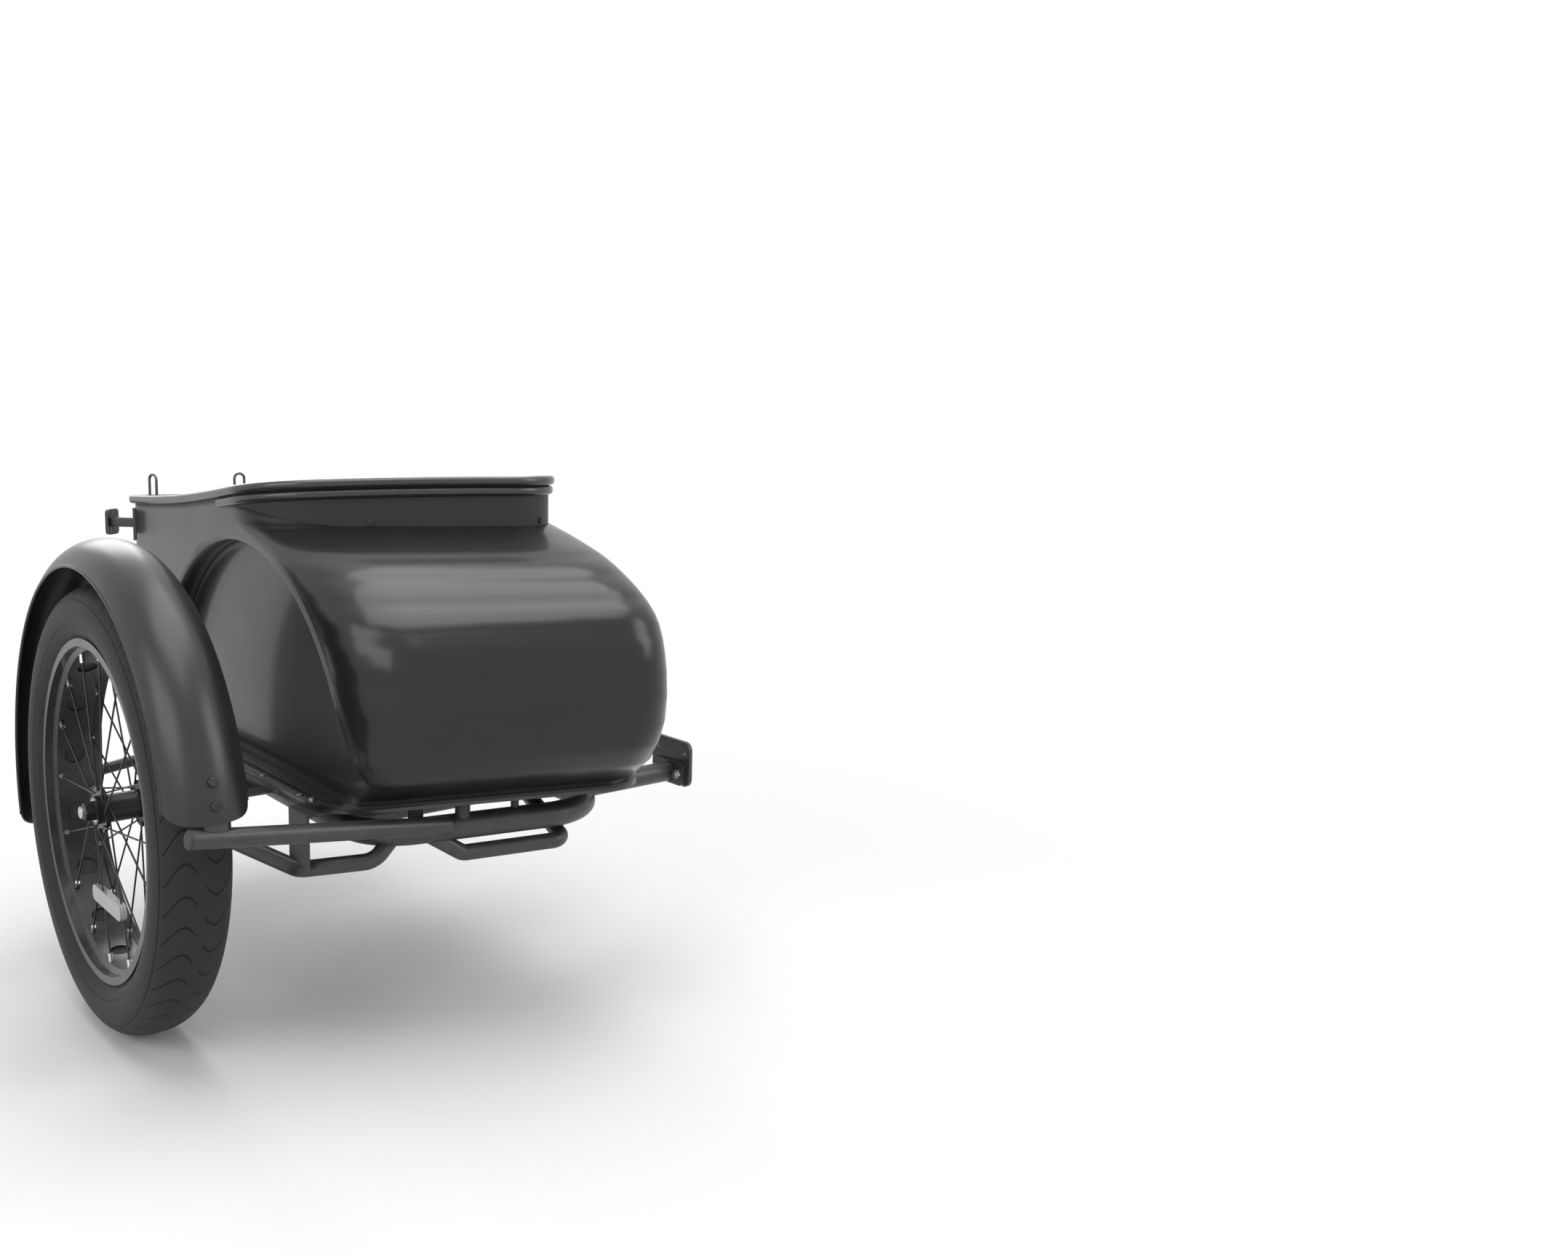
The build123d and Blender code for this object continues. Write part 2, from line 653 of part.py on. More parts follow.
with BuildPart() as floor_mat:
    add(plan_prism(floor_section, -tub_wall - 6, tub_floor, tub_floor + mat_thickness))
    with BuildSketch(Plane.XY.offset(tub_floor + mat_thickness)):
        with Locations(((mat_rear_x + rail_front_outer_x) / 2 + 12, tub_middle_y)):
            with GridLocations(0, mat_rib_pitch, 1, mat_ribs):
                SlotOverall(rail_front_outer_x - mat_rear_x - 10, mat_rib_pitch / 2)
    extrude(amount=mat_rib_height)
    with Locations((mat_rear_x, tub_middle_y, tub_floor)):
        Box(far, far, far, align=(Align.MIN, Align.CENTER, Align.CENTER), mode=Mode.INTERSECT)
    with Locations((axle_x, tub_outer_y, axle_z)):
        Cylinder(tyre_radius + arch_clearance + tub_wall + 1, 2 * (arch_depth + tub_wall + 1),
                 rotation=(90, 0, 0), mode=Mode.SUBTRACT)
    for x, y in post_places:
        with Locations((x, y, tub_floor)):
            Cylinder(post_bolt_head + 1.5, 30, mode=Mode.SUBTRACT)
save(floor_mat, "floor_mat")

# Chassis hoop and its cross tubes
rail_corners = [
    (rail_rear_x, rail_inner_y, rail_height),
    (rail_front_inner_x, rail_inner_y, rail_height),
    (rail_front_outer_x, rail_outer_y, rail_height),
    (rail_rear_x, rail_outer_y, rail_height),
]
rail_space = tube_along(rail_corners, rail_corner, rail_radius + running_gap, close=True)

with BuildPart() as frame_rail:
    add(tube_along(rail_corners, rail_corner, rail_radius, rail_radius - rail_wall, close=True))
    with Locations(*[(x, y, rail_height + rail_radius) for x, y in post_places]):
        Cylinder(post_bolt_radius + hole_clearance, 4 * rail_wall, mode=Mode.SUBTRACT)
save(frame_rail, "frame_rail")


def cross_tube(x, label):
    """Makes a tube across the hoop, its ends coped to the side rails."""
    with BuildPart() as tube:
        add(tube_along([(x, rail_outer_y, rail_height), (x, rail_inner_y, rail_height)], 0, cross_radius,
                       cross_radius - rail_wall))
        add(rail_space, mode=Mode.SUBTRACT)
    save(tube, label)


cross_tube(rear_cross_x, "rear_cross_tube")
cross_tube(axle_x, "axle_cross_tube")
cross_tube(front_cross_x, "front_cross_tube")

# Axle support: a beam out from the hoop and a bored carrier that grips the stub axle
with BuildPart() as axle_beam:
    add(tube_along([(axle_x, beam_end_y, axle_z), (axle_x, rail_outer_y, axle_z)], 0, beam_radius,
                   beam_radius - 3))
    add(rail_space, mode=Mode.SUBTRACT)
save(axle_beam, "axle_beam")

axle_inner_y = beam_end_y - 5
with BuildPart() as axle_carrier:
    with BuildSketch(Plane.XZ.offset(-beam_end_y)):
        with Locations((axle_x, axle_z)):
            Circle(carrier_radius)
    extrude(amount=beam_end_y - carrier_outer_y)
    with BuildSketch(Plane.XZ.offset(-carrier_outer_y)):
        with Locations((axle_x, axle_z)):
            Circle(axle_radius + axle_fit)
    extrude(amount=carrier_outer_y - axle_inner_y, mode=Mode.SUBTRACT)
    chamfer(axle_carrier.edges().filter_by(GeomType.CIRCLE).group_by(Axis.Y)[0].sort_by(SortBy.LENGTH)[-1],
            length=2.0)
save(axle_carrier, "axle_carrier")


def round_on_axle(inner_y, outer_y, outer, inner=0.0):
    """Returns a disc or ring on the wheel's axle line between two distances out."""
    with BuildPart() as ring:
        with BuildSketch(Plane.XZ.offset(-inner_y)):
            with Locations((axle_x, axle_z)):
                Circle(outer)
                if inner:
                    Circle(inner, mode=Mode.SUBTRACT)
        extrude(amount=inner_y - outer_y)
    return ring.part


with BuildPart() as stub_axle:
    add(round_on_axle(axle_inner_y - running_gap, axle_end_y, axle_radius))
    chamfer(stub_axle.edges().group_by(Axis.Y)[0], length=1.0)
save(stub_axle, "stub_axle")

hub_outer_y = wheel_y - hub_length / 2
with BuildPart() as axle_spacer:
    add(round_on_axle(carrier_outer_y, hub_end_y + running_gap, 12.0, axle_radius + axle_fit))
save(axle_spacer, "axle_spacer")
with BuildPart() as axle_washer:
    add(round_on_axle(hub_outer_y - running_gap, hub_outer_y - running_gap - washer_thickness, 12.0,
                      axle_radius + hole_clearance))
save(axle_washer, "axle_washer")
nut_inner_y = hub_outer_y - running_gap - washer_thickness
with BuildPart() as axle_nut:
    with BuildSketch(Plane.XZ.offset(-nut_inner_y)):
        with Locations((axle_x, axle_z)):
            RegularPolygon(nut_across_corners / 2, 6)
            Circle(axle_radius + axle_fit, mode=Mode.SUBTRACT)
    extrude(amount=nut_thickness)
    chamfer(axle_nut.edges().filter_by(GeomType.LINE).group_by(Axis.Y)[0], length=1.2)
save(axle_nut, "axle_nut")

# Bumper tube across in front of the wheel, and the plug in its open end
bumper_root = (rail_front_x(bumper_root_y), bumper_root_y, rail_height)
with BuildPart() as bumper_tube:
    add(tube_along([bumper_root, bumper_end], 0, bumper_radius, bumper_radius - bumper_wall))
    with Locations((bumper_root[0], bumper_scarf_y, rail_height)):
        Box(far, far, far, align=(Align.CENTER, Align.MAX, Align.CENTER), mode=Mode.INTERSECT)
    add(rail_space, mode=Mode.SUBTRACT)
save(bumper_tube, "bumper_tube")

bumper_line = Plane(origin=bumper_end, z_dir=Vector(*bumper_end) - Vector(*bumper_root))
with BuildPart() as bumper_plug:
    with BuildSketch(bumper_line):
        Circle(bumper_radius)
    extrude(amount=4.0)
    with BuildSketch(bumper_line):
        Circle(bumper_radius - bumper_wall - 0.1)
    extrude(amount=-10.0)
    fillet(bumper_plug.edges().filter_by(GeomType.CIRCLE).sort_by(Axis.Y)[0], radius=2.5)
save(bumper_plug, "bumper_plug")
bumper_space = tube_along([bumper_root, bumper_end], 0, bumper_radius + running_gap)

# Braces that hang under the hoop, and the plate that ties the outer one to the floor flange
outer_brace_points = [
    (axle_x - 16, -604.0, -84.0),
    (284.0, outer_brace_y, brace_height),
    (331.0, -466.0, brace_height + 8),
    (324.0, -432.0, rail_height),
]
inner_brace_points = [
    (344.0, -412.0, rail_height),
    (356.0, -364.0, brace_height + 4),
    (385.0, -238.0, brace_height + 4),
    (front_cross_x, -214.0, rail_height),
]
with BuildPart() as outer_brace:
    add(tube_along(outer_brace_points, 24, brace_radius, brace_radius - brace_wall))
    add(rail_space, mode=Mode.SUBTRACT)
    add(round_on_axle(rail_outer_y, carrier_outer_y, carrier_radius + running_gap), mode=Mode.SUBTRACT)
save(outer_brace, "outer_brace")

with BuildPart() as inner_brace:
    add(tube_along(inner_brace_points, 14, brace_radius, brace_radius - brace_wall))
    add(rail_space, mode=Mode.SUBTRACT)
    with Locations((front_cross_x, tub_middle_y, rail_height)):
        Cylinder(cross_radius + running_gap, tub_width, rotation=(90, 0, 0), mode=Mode.SUBTRACT)
save(inner_brace, "inner_brace")

pan_under = tub_floor - flange_thickness
brace_space = tube_along(outer_brace_points, 24, brace_radius + running_gap)
with BuildPart() as brace_hanger:
    with Locations((hanger_x, outer_brace_y, pan_under)):
        Box(hanger_width, hanger_thickness, pan_under - brace_height - 2,
            align=(Align.CENTER, Align.CENTER, Align.MAX))
    with Locations((hanger_x, outer_brace_y - hanger_thickness / 2, pan_under)):
        Box(hanger_width, 34, hanger_thickness, align=(Align.CENTER, Align.MIN, Align.MAX))
    with Locations((hanger_x, hanger_bolt_y, pan_under)):
        Cylinder(post_bolt_radius + hole_clearance, 20, mode=Mode.SUBTRACT)
    add(brace_space, mode=Mode.SUBTRACT)
save(brace_hanger, "brace_hanger")

# Rubber posts between the hoop and the floor, the bolts through them, and the rear stay
post_low = rail_height
with BuildPart() as tub_posts:
    for index, (x, y) in enumerate(post_places):
        with Locations((x, y, post_low)):
            Cylinder(post_radius if index != slim_post else slim_post_radius, pan_under - post_low,
                     align=(Align.CENTER, Align.CENTER, Align.MIN))
            Cylinder(post_bolt_radius + hole_clearance, pan_under - post_low,
                     align=(Align.CENTER, Align.CENTER, Align.MIN), mode=Mode.SUBTRACT)
    add(rail_space, mode=Mode.SUBTRACT)
save(tub_posts, "tub_posts")


def bolt_solid(shank, length, head, head_height, recess=0.0):
    """Returns a button-headed bolt with its shank down from the origin and its head above."""
    with BuildPart() as bolt:
        Cylinder(shank, length, align=(Align.CENTER, Align.CENTER, Align.MAX))
        Cylinder(head, head_height, align=(Align.CENTER, Align.CENTER, Align.MIN))
        fillet(bolt.faces().sort_by(Axis.Z)[-1].edges(), radius=head_height * 0.6)
        if recess:
            with BuildSketch(Plane.XY.offset(head_height)):
                RegularPolygon(recess, 6)
            extrude(amount=-head_height * 0.6, mode=Mode.SUBTRACT)
    return bolt.part


def placed(solid, origin, direction):
    """Returns a copy of a solid with its own Z axis turned to a direction at a place."""
    plane = Plane(origin=origin, z_dir=direction)
    return solid.moved(plane.location)


with BuildPart() as post_bolts:
    post_bolt = bolt_solid(post_bolt_radius, tub_floor - rail_top + 4, post_bolt_head, 4.0)
    for x, y in post_places:
        add(post_bolt.moved(Location((x, y, tub_floor))))
    with Locations((hanger_x, hanger_bolt_y, tub_floor)):
        Cylinder(post_bolt_radius, 2 * flange_thickness + 9, align=(Align.CENTER, Align.CENTER, Align.CENTER))
save(post_bolts, "post_bolts")

stay_out = fender_crown_radius + stay_radius + running_gap
stay_angle = math.radians(stay_angle_below)
stay_cross_x = axle_x - stay_out * math.cos(stay_angle)
stay_cross_z = axle_z - stay_out * math.sin(stay_angle)
stay_root = (-260.6, -435.0, rail_height)
stay_run = (wheel_y - stay_root[1], stay_cross_x - stay_root[0], stay_cross_z - stay_root[2])
stay_past = 1 + stay_overhang / abs(stay_run[0])
stay_end = (stay_root[0] + stay_run[1] * stay_past, stay_root[1] + stay_run[0] * stay_past,
            stay_root[2] + stay_run[2] * stay_past)


def on_fender(radius, angle, side=0.0):
    """Returns a point at a radius and an angle above the axle, beside the wheel's middle plane."""
    turn = math.radians(angle)
    return (axle_x + radius * math.cos(turn), wheel_y + side, axle_z + radius * math.sin(turn))


def across_wheel(low, high, radius, angle, side=0.0, flats=0):
    """Returns a bar, round or with flats, pointing straight out from the axle between two radii."""
    outwards = Vector(*on_fender(1, angle)) - Vector(*on_fender(0, angle))
    with BuildPart() as bar:
        with BuildSketch(Plane(origin=on_fender(low, angle, side), z_dir=outwards)):
            if flats:
                RegularPolygon(radius, flats, major_radius=False)
            else:
                Circle(radius)
        extrude(amount=high - low)
    return bar.part


with BuildPart() as rear_stay:
    add(tube_along([stay_root, stay_end], 0, stay_radius, stay_radius - stay_wall))
    add(rail_space, mode=Mode.SUBTRACT)
    add(across_wheel(stay_out - 20, stay_out + 20, post_bolt_radius + hole_clearance, 180 + stay_angle_below),
        mode=Mode.SUBTRACT)
save(rear_stay, "rear_stay")

# Fender: a rolled half-round section with beaded lips, turned about the axle
fender_half = fender_width / 2
with BuildPart() as fender:
    with BuildSketch(Plane(origin=(axle_x, wheel_y, axle_z), x_dir=(1, 0, 0), z_dir=(0, 0, 1))):
        with BuildLine():
            ThreePointArc((fender_lip_radius, -fender_half), (fender_crown_radius, 0),
                          (fender_lip_radius, fender_half))
            Line((fender_lip_radius, fender_half), (fender_lip_radius, fender_half - fender_wall))
            ThreePointArc((fender_lip_radius, fender_half - fender_wall),
                          (fender_crown_radius - fender_wall, 0),
                          (fender_lip_radius, fender_wall - fender_half))
            Line((fender_lip_radius, fender_wall - fender_half), (fender_lip_radius, -fender_half))
        make_face()
        with Locations((fender_lip_radius, fender_half - fender_wall / 2),
                       (fender_lip_radius, fender_wall / 2 - fender_half)):
            Circle(fender_bead)
    revolve(axis=Axis((axle_x, wheel_y, axle_z), (0, -1, 0)),
            revolution_arc=180 - fender_front_angle + fender_rear_angle)
fender_turned = fender.part.rotate(Axis((axle_x, wheel_y, axle_z), (0, -1, 0)), fender_front_angle)


def end_trim(angle, away):
    """Returns the solid that rounds a fender end's two corners off in side view."""
    inner = fender_lip_radius - 6
    outer = fender_crown_radius + 6
    with BuildPart() as trim:
        with BuildSketch(Plane.XZ.offset(-wheel_y - fender_width)):
            with BuildLine():
                start = on_fender(outer, angle - away)
                past = on_fender(outer, angle)
                middle = on_fender(inner + (outer - inner) * 0.45, angle + away * 1.2)
                last = on_fender(inner, angle + away * fender_corner_angle)
                foot = on_fender(inner, angle - away)
                Spline((past[0], past[2]), (middle[0], middle[2]), (last[0], last[2]))
                Polyline((last[0], last[2]), (foot[0], foot[2]), (start[0], start[2]), (past[0], past[2]))
            make_face()
        extrude(amount=2 * fender_width)
    return trim.part


with BuildPart() as fender:
    add(fender_turned)
    for angle in fender_bolt_angles:
        add(across_wheel(fender_crown_radius - 15, fender_crown_radius + 15,
                         post_bolt_radius + hole_clearance, angle, flats=8), mode=Mode.SUBTRACT)
    add(end_trim(fender_front_angle, 1), mode=Mode.SUBTRACT)
    add(end_trim(180 + fender_rear_angle, -1), mode=Mode.SUBTRACT)
save(fender, "fender")

tab_outer = fender_crown_radius - fender_wall - running_gap
fender_rise = fender_crown_radius - fender_lip_radius
fender_bow = (fender_half ** 2 + fender_rise ** 2) / (2 * fender_rise)
tab_bow = fender_bow - fender_wall - running_gap
with BuildPart() as fender_front_tab:
    with BuildSketch(Plane(origin=(axle_x, wheel_y, axle_z), x_dir=(1, 0, 0), z_dir=(0, 0, 1))):
        with Locations((tab_outer - tab_bow, 0)):
            Circle(tab_bow)
            Circle(tab_bow - tab_thickness, mode=Mode.SUBTRACT)
        with Locations((tab_outer + 1, 0)):
            Rectangle(2 * tab_thickness + 2, tab_width, align=(Align.MAX, Align.CENTER), mode=Mode.INTERSECT)
    revolve(axis=Axis((axle_x, wheel_y, axle_z), (0, -1, 0)), revolution_arc=tab_angle)
fender_tab_turned = fender_front_tab.part.rotate(Axis((axle_x, wheel_y, axle_z), (0, -1, 0)),
                                                 tab_start_angle)
with BuildPart() as fender_front_tab:
    add(fender_tab_turned)
    add(bumper_space, mode=Mode.SUBTRACT)
    for angle in fender_bolt_angles[:2]:
        add(across_wheel(fender_crown_radius - 15, fender_crown_radius + 15,
                         post_bolt_radius + hole_clearance, angle, flats=8), mode=Mode.SUBTRACT)
save(fender_front_tab, "fender_front_tab")

with BuildPart() as fender_bolts:
    tab_bolt = bolt_solid(post_bolt_radius, 12, 5.5, 3.0)
    stay_bolt = bolt_solid(post_bolt_radius, 2 * stay_radius + fender_wall + 8, 5.5, 3.0)
    for angle in fender_bolt_angles:
        outwards = Vector(*on_fender(1, angle)) - Vector(*on_fender(0, angle))
        if angle < 90:
            add(placed(tab_bolt, on_fender(fender_crown_radius + 0.5, angle), outwards))
            nut_radius = tab_outer - tab_thickness - 0.3
        else:
            add(placed(stay_bolt, on_fender(stay_out + stay_radius + 0.8, angle), outwards))
            nut_radius = fender_crown_radius - fender_wall - 0.5
        with BuildSketch(Plane(origin=on_fender(nut_radius, angle), z_dir=outwards)):
            RegularPolygon(5.5, 6)
        extrude(amount=-4.0)
save(fender_bolts, "fender_bolts")

# Mounts towards the bicycle
with BuildPart() as rear_mount_arm:
    add(tube_along([(0, rail_inner_y, rail_height), (0, -mount_plate_thickness - arm_flange_thickness, rail_height)],
                   0, arm_radius, arm_radius - rail_wall))
    add(rail_space, mode=Mode.SUBTRACT)
    with BuildSketch(Plane.XZ.offset(mount_plate_thickness)):
        with Locations((0, rail_height)):
            RectangleRounded(mount_plate_width, 64, 10)
        with Locations((0, rail_height + 22), (0, rail_height - 22)):
            Circle(plate_bolt_radius + hole_clearance, mode=Mode.SUBTRACT)
    extrude(amount=arm_flange_thickness)
save(rear_mount_arm, "rear_mount_arm")

with BuildPart() as rear_mount_plate:
    with BuildSketch(Plane.XZ):
        with Locations((0, (rail_height - 32 + mount_plate_width / 2) / 2)):
            SlotOverall(mount_plate_width / 2 - rail_height + 32, mount_plate_width, rotation=90)
        Circle(mount_bore_radius, mode=Mode.SUBTRACT)
        with Locations((0, rail_height + 22), (0, rail_height - 22)):
            Circle(plate_bolt_radius + hole_clearance, mode=Mode.SUBTRACT)
    extrude(amount=mount_plate_thickness)
    with BuildSketch(Plane.XZ):
        with Locations((0, rail_height + 22), (0, rail_height - 22)):
            Circle(plate_bolt_head + 0.4)
    extrude(amount=bolt_sink, mode=Mode.SUBTRACT)
    chamfer(rear_mount_plate.faces().sort_by(Axis.Y)[-1].outer_wire().edges(), length=1.0)
save(rear_mount_plate, "rear_mount_plate")

with BuildPart() as front_mount_arm:
    add(tube_along([(front_mount_x, rail_inner_y, rail_height),
                    (front_mount_x, -mount_plate_thickness - arm_flange_thickness, rail_height)],
                   0, arm_radius, arm_radius - rail_wall))
    add(rail_space, mode=Mode.SUBTRACT)
    with BuildSketch(Plane.XZ.offset(mount_plate_thickness)):
        with Locations((front_mount_x, rail_height)):
            RectangleRounded(68, 32, 8)
        with Locations((front_mount_x - 24, rail_height), (front_mount_x + 24, rail_height)):
            Circle(plate_bolt_radius + hole_clearance, mode=Mode.SUBTRACT)
    extrude(amount=arm_flange_thickness)
save(front_mount_arm, "front_mount_arm")

with BuildPart() as front_mount_plate:
    with BuildSketch(Plane.XZ):
        with Locations((front_mount_x, (front_mount_height + rail_height) / 2)):
            RectangleRounded(front_bolt_spacing + 26, front_mount_height - rail_height + 34, 12)
        with Locations((front_mount_x - front_bolt_spacing / 2, front_mount_height),
                       (front_mount_x + front_bolt_spacing / 2, front_mount_height)):
            Circle(front_bolt_radius, mode=Mode.SUBTRACT)
        with Locations((front_mount_x - 24, rail_height), (front_mount_x + 24, rail_height)):
            Circle(plate_bolt_radius + hole_clearance, mode=Mode.SUBTRACT)
    extrude(amount=mount_plate_thickness)
    with BuildSketch(Plane.XZ):
        with Locations((front_mount_x - 24, rail_height), (front_mount_x + 24, rail_height)):
            Circle(plate_bolt_head + 0.4)
    extrude(amount=bolt_sink, mode=Mode.SUBTRACT)
    chamfer(front_mount_plate.faces().sort_by(Axis.Y)[-1].outer_wire().edges(), length=1.0)
save(front_mount_plate, "front_mount_plate")

plate_bolt_places = [(0, rail_height + 22), (0, rail_height - 22), (front_mount_x - 24, rail_height),
                     (front_mount_x + 24, rail_height)]
with BuildPart() as mount_plate_bolts:
    for x, z in plate_bolt_places:
        with Locations(Location((x, -bolt_sink, z), (90, 0, 0))):
            Cylinder(plate_bolt_head, bolt_sink - 0.4, align=(Align.CENTER, Align.CENTER, Align.MAX))
            Cylinder(plate_bolt_radius, 15, align=(Align.CENTER, Align.CENTER, Align.MIN))
        with BuildSketch(Plane.XZ.offset(mount_plate_thickness + arm_flange_thickness)):
            with Locations((x, z)):
                RegularPolygon(7.0, 6)
        extrude(amount=5.0)
save(mount_plate_bolts, "mount_plate_bolts")

# Wheel: tyre, inner tube, rim with round cut-outs behind its tape
wheel_section = Plane(origin=(axle_x, wheel_y, axle_z), x_dir=(1, 0, 0), z_dir=(0, 0, 1))
wheel_axis = Axis((axle_x, wheel_y, axle_z), (0, 1, 0))
bead_half = rim_width / 2 - rim_wall - running_gap
tyre_half = tyre_width / 2
with BuildPart() as tyre:
    with BuildSketch(wheel_section):
        with BuildLine():
            Line((rim_seat_radius + running_gap, bead_half - tyre_wall - 1),
                 (rim_seat_radius + running_gap, bead_half))
            Line((rim_seat_radius + running_gap, bead_half), (rim_lip_radius + 2, bead_half))
            Spline((rim_lip_radius + 2, bead_half), (tyre_radius - 52, tyre_half - 3),
                   (tyre_radius - 35, tyre_half), (tyre_radius - 14, tyre_half - 7),
                   (tyre_radius - 3, tyre_half - 23), (tyre_radius, 0), (tyre_radius - 3, 23 - tyre_half),
                   (tyre_radius - 14, 7 - tyre_half), (tyre_radius - 35, -tyre_half),
                   (tyre_radius - 52, 3 - tyre_half), (rim_lip_radius + 2, -bead_half))
            Line((rim_lip_radius + 2, -bead_half), (rim_seat_radius + running_gap, -bead_half))
            Line((rim_seat_radius + running_gap, -bead_half),
                 (rim_seat_radius + running_gap, 1 + tyre_wall - bead_half))
            Spline((rim_seat_radius + running_gap, 1 + tyre_wall - bead_half),
                   (tyre_radius - 52, 3 + tyre_wall - tyre_half),
                   (tyre_radius - 36, tyre_wall - tyre_half),
                   (tyre_radius - 18, 12 - tyre_half),
                   (tyre_radius - tread_thickness, 0),
                   (tyre_radius - 18, tyre_half - 12),
                   (tyre_radius - 36, tyre_half - tyre_wall),
                   (tyre_radius - 52, tyre_half - 3 - tyre_wall),
                   (rim_seat_radius + running_gap, bead_half - tyre_wall - 1))
        make_face()
    revolve(axis=wheel_axis)
save(tyre, "tyre")

tube_section = 31.0
tube_centre = tyre_radius - tread_thickness - running_gap - tube_section
with BuildPart() as inner_tube:
    with BuildSketch(wheel_section):
        with Locations((tube_centre, 0)):
            Circle(tube_section)
            Circle(tube_section - tube_wall, mode=Mode.SUBTRACT)
    revolve(axis=wheel_axis)
save(inner_tube, "inner_tube")

spoke_step = 720 / spoke_count
rim_angles = [(spoke_step * index + shift, side) for index in range(spoke_count // 2)
              for shift, side in ((0, -1), (spoke_pair_angle, 1))]
cutout_start = (spoke_pair_angle + spoke_step) / 2


well_radius = rim_lip_radius - rim_well_depth
with BuildPart() as rim:
    with BuildSketch(wheel_section):
        with BuildLine():
            half = rim_width / 2
            upper = [
                (well_radius - rim_wall, 0),
                (well_radius - rim_wall, 21.0),
                (rim_seat_radius - rim_wall, 25.0),
                (rim_seat_radius - rim_wall, half),
                (rim_lip_radius, half),
                (rim_lip_radius, half - rim_wall),
                (rim_seat_radius, half - rim_wall),
                (rim_seat_radius, 25.5),
                (well_radius, 21.5),
                (well_radius, 0),
            ]
            Polyline(*upper)
            Polyline(*[(r, -y) for r, y in upper])
        make_face()
    revolve(axis=wheel_axis)
    for index in range(rim_cutouts):
        angle = cutout_start + index * spoke_step
        add(across_wheel(well_radius - 8, well_radius + 2, rim_cutout_radius, angle), mode=Mode.SUBTRACT)
    for angle, side in rim_angles:
        add(across_wheel(well_radius - 8, well_radius + 2, nipple_radius + 0.5, angle, side * spoke_row_offset),
            mode=Mode.SUBTRACT)
    add(across_wheel(well_radius - 8, well_radius + 2, valve_radius + 0.4, valve_angle), mode=Mode.SUBTRACT)
save(rim, "rim")

with BuildPart() as rim_tape:
    with BuildSketch(wheel_section):
        with Locations((well_radius + running_gap, 0)):
            Rectangle(rim_tape_thickness, 40.0, align=(Align.MIN, Align.CENTER))
    revolve(axis=wheel_axis)
    add(across_wheel(well_radius - 8, well_radius + 4, valve_radius + 0.4, valve_angle), mode=Mode.SUBTRACT)
save(rim_tape, "rim_tape")

with BuildPart() as valve_stem:
    stem_top = tube_centre - tube_section - running_gap
    add(across_wheel(stem_top - 2, stem_top, 7.0, valve_angle))
    add(across_wheel(stem_top - valve_length, stem_top, valve_radius, valve_angle))
    add(across_wheel(stem_top - valve_length - 1, stem_top - valve_length + 9, valve_radius + 1, valve_angle))
save(valve_stem, "valve_stem")

# Hub, spokes and nipples
with BuildPart() as hub_shell:
    add(round_on_axle(hub_end_y, hub_outer_y, hub_barrel_radius))
    for side in (-1, 1):
        flange_y = wheel_y + side * hub_flange_spacing / 2
        add(round_on_axle(flange_y + hub_flange_thickness / 2, flange_y - hub_flange_thickness / 2,
                          hub_flange_radius))
    add(round_on_axle(hub_end_y, hub_outer_y, axle_radius + 3), mode=Mode.SUBTRACT)
    add(round_on_axle(hub_end_y, hub_end_y - bearing_width, bearing_radius), mode=Mode.SUBTRACT)
    add(round_on_axle(hub_outer_y + bearing_width, hub_outer_y, bearing_radius), mode=Mode.SUBTRACT)
    for index in range(spoke_count // 2):
        for side, shift in ((-1, 0), (1, spoke_pair_angle)):
            origin = on_fender(spoke_circle_radius, index * spoke_step + shift, side * hub_flange_spacing / 2)
            with Locations(Location(origin, (90, 0, 0))):
                Cylinder(spoke_radius + 0.4, 3 * hub_flange_thickness, mode=Mode.SUBTRACT)
save(hub_shell, "hub_shell")

with BuildPart() as hub_bearings:
    add(round_on_axle(hub_end_y, hub_end_y - bearing_width, bearing_radius - axle_fit, axle_radius + axle_fit))
    add(round_on_axle(hub_outer_y + bearing_width, hub_outer_y, bearing_radius - axle_fit,
                      axle_radius + axle_fit))
save(hub_bearings, "hub_bearings")

spoke_lines = []
for index in range(spoke_count // 2):
    for side, shift in ((-1, 0), (1, spoke_pair_angle)):
        outside = 1 if index % 2 == 0 else -1
        turn = spoke_cross_angle * outside
        hub_side = side * (hub_flange_spacing / 2 + outside * (hub_flange_thickness / 2 + spoke_radius + 0.1))
        start = Vector(*on_fender(spoke_circle_radius, index * spoke_step + shift, hub_side))
        end = Vector(*on_fender(well_radius - 0.2, index * spoke_step + shift + turn,
                                side * spoke_row_offset))
        spoke_lines.append((start, end, side, outside))

with BuildPart() as spokes:
    for start, end, side, outside in spoke_lines:
        along = (end - start).normalized()
        through = Vector(0, -side * outside * (hub_flange_thickness + 2), 0)
        add(tube_along([start + through, start, end - along * nipple_length], 1.5, spoke_radius))
save(spokes, "spokes")

with BuildPart() as nipples:
    for start, end, side, outside in spoke_lines:
        along = (end - start).normalized()
        with BuildSketch(Plane(origin=end - along * nipple_length, z_dir=along)):
            Circle(nipple_radius)
        extrude(amount=nipple_length)
save(nipples, "nipples")

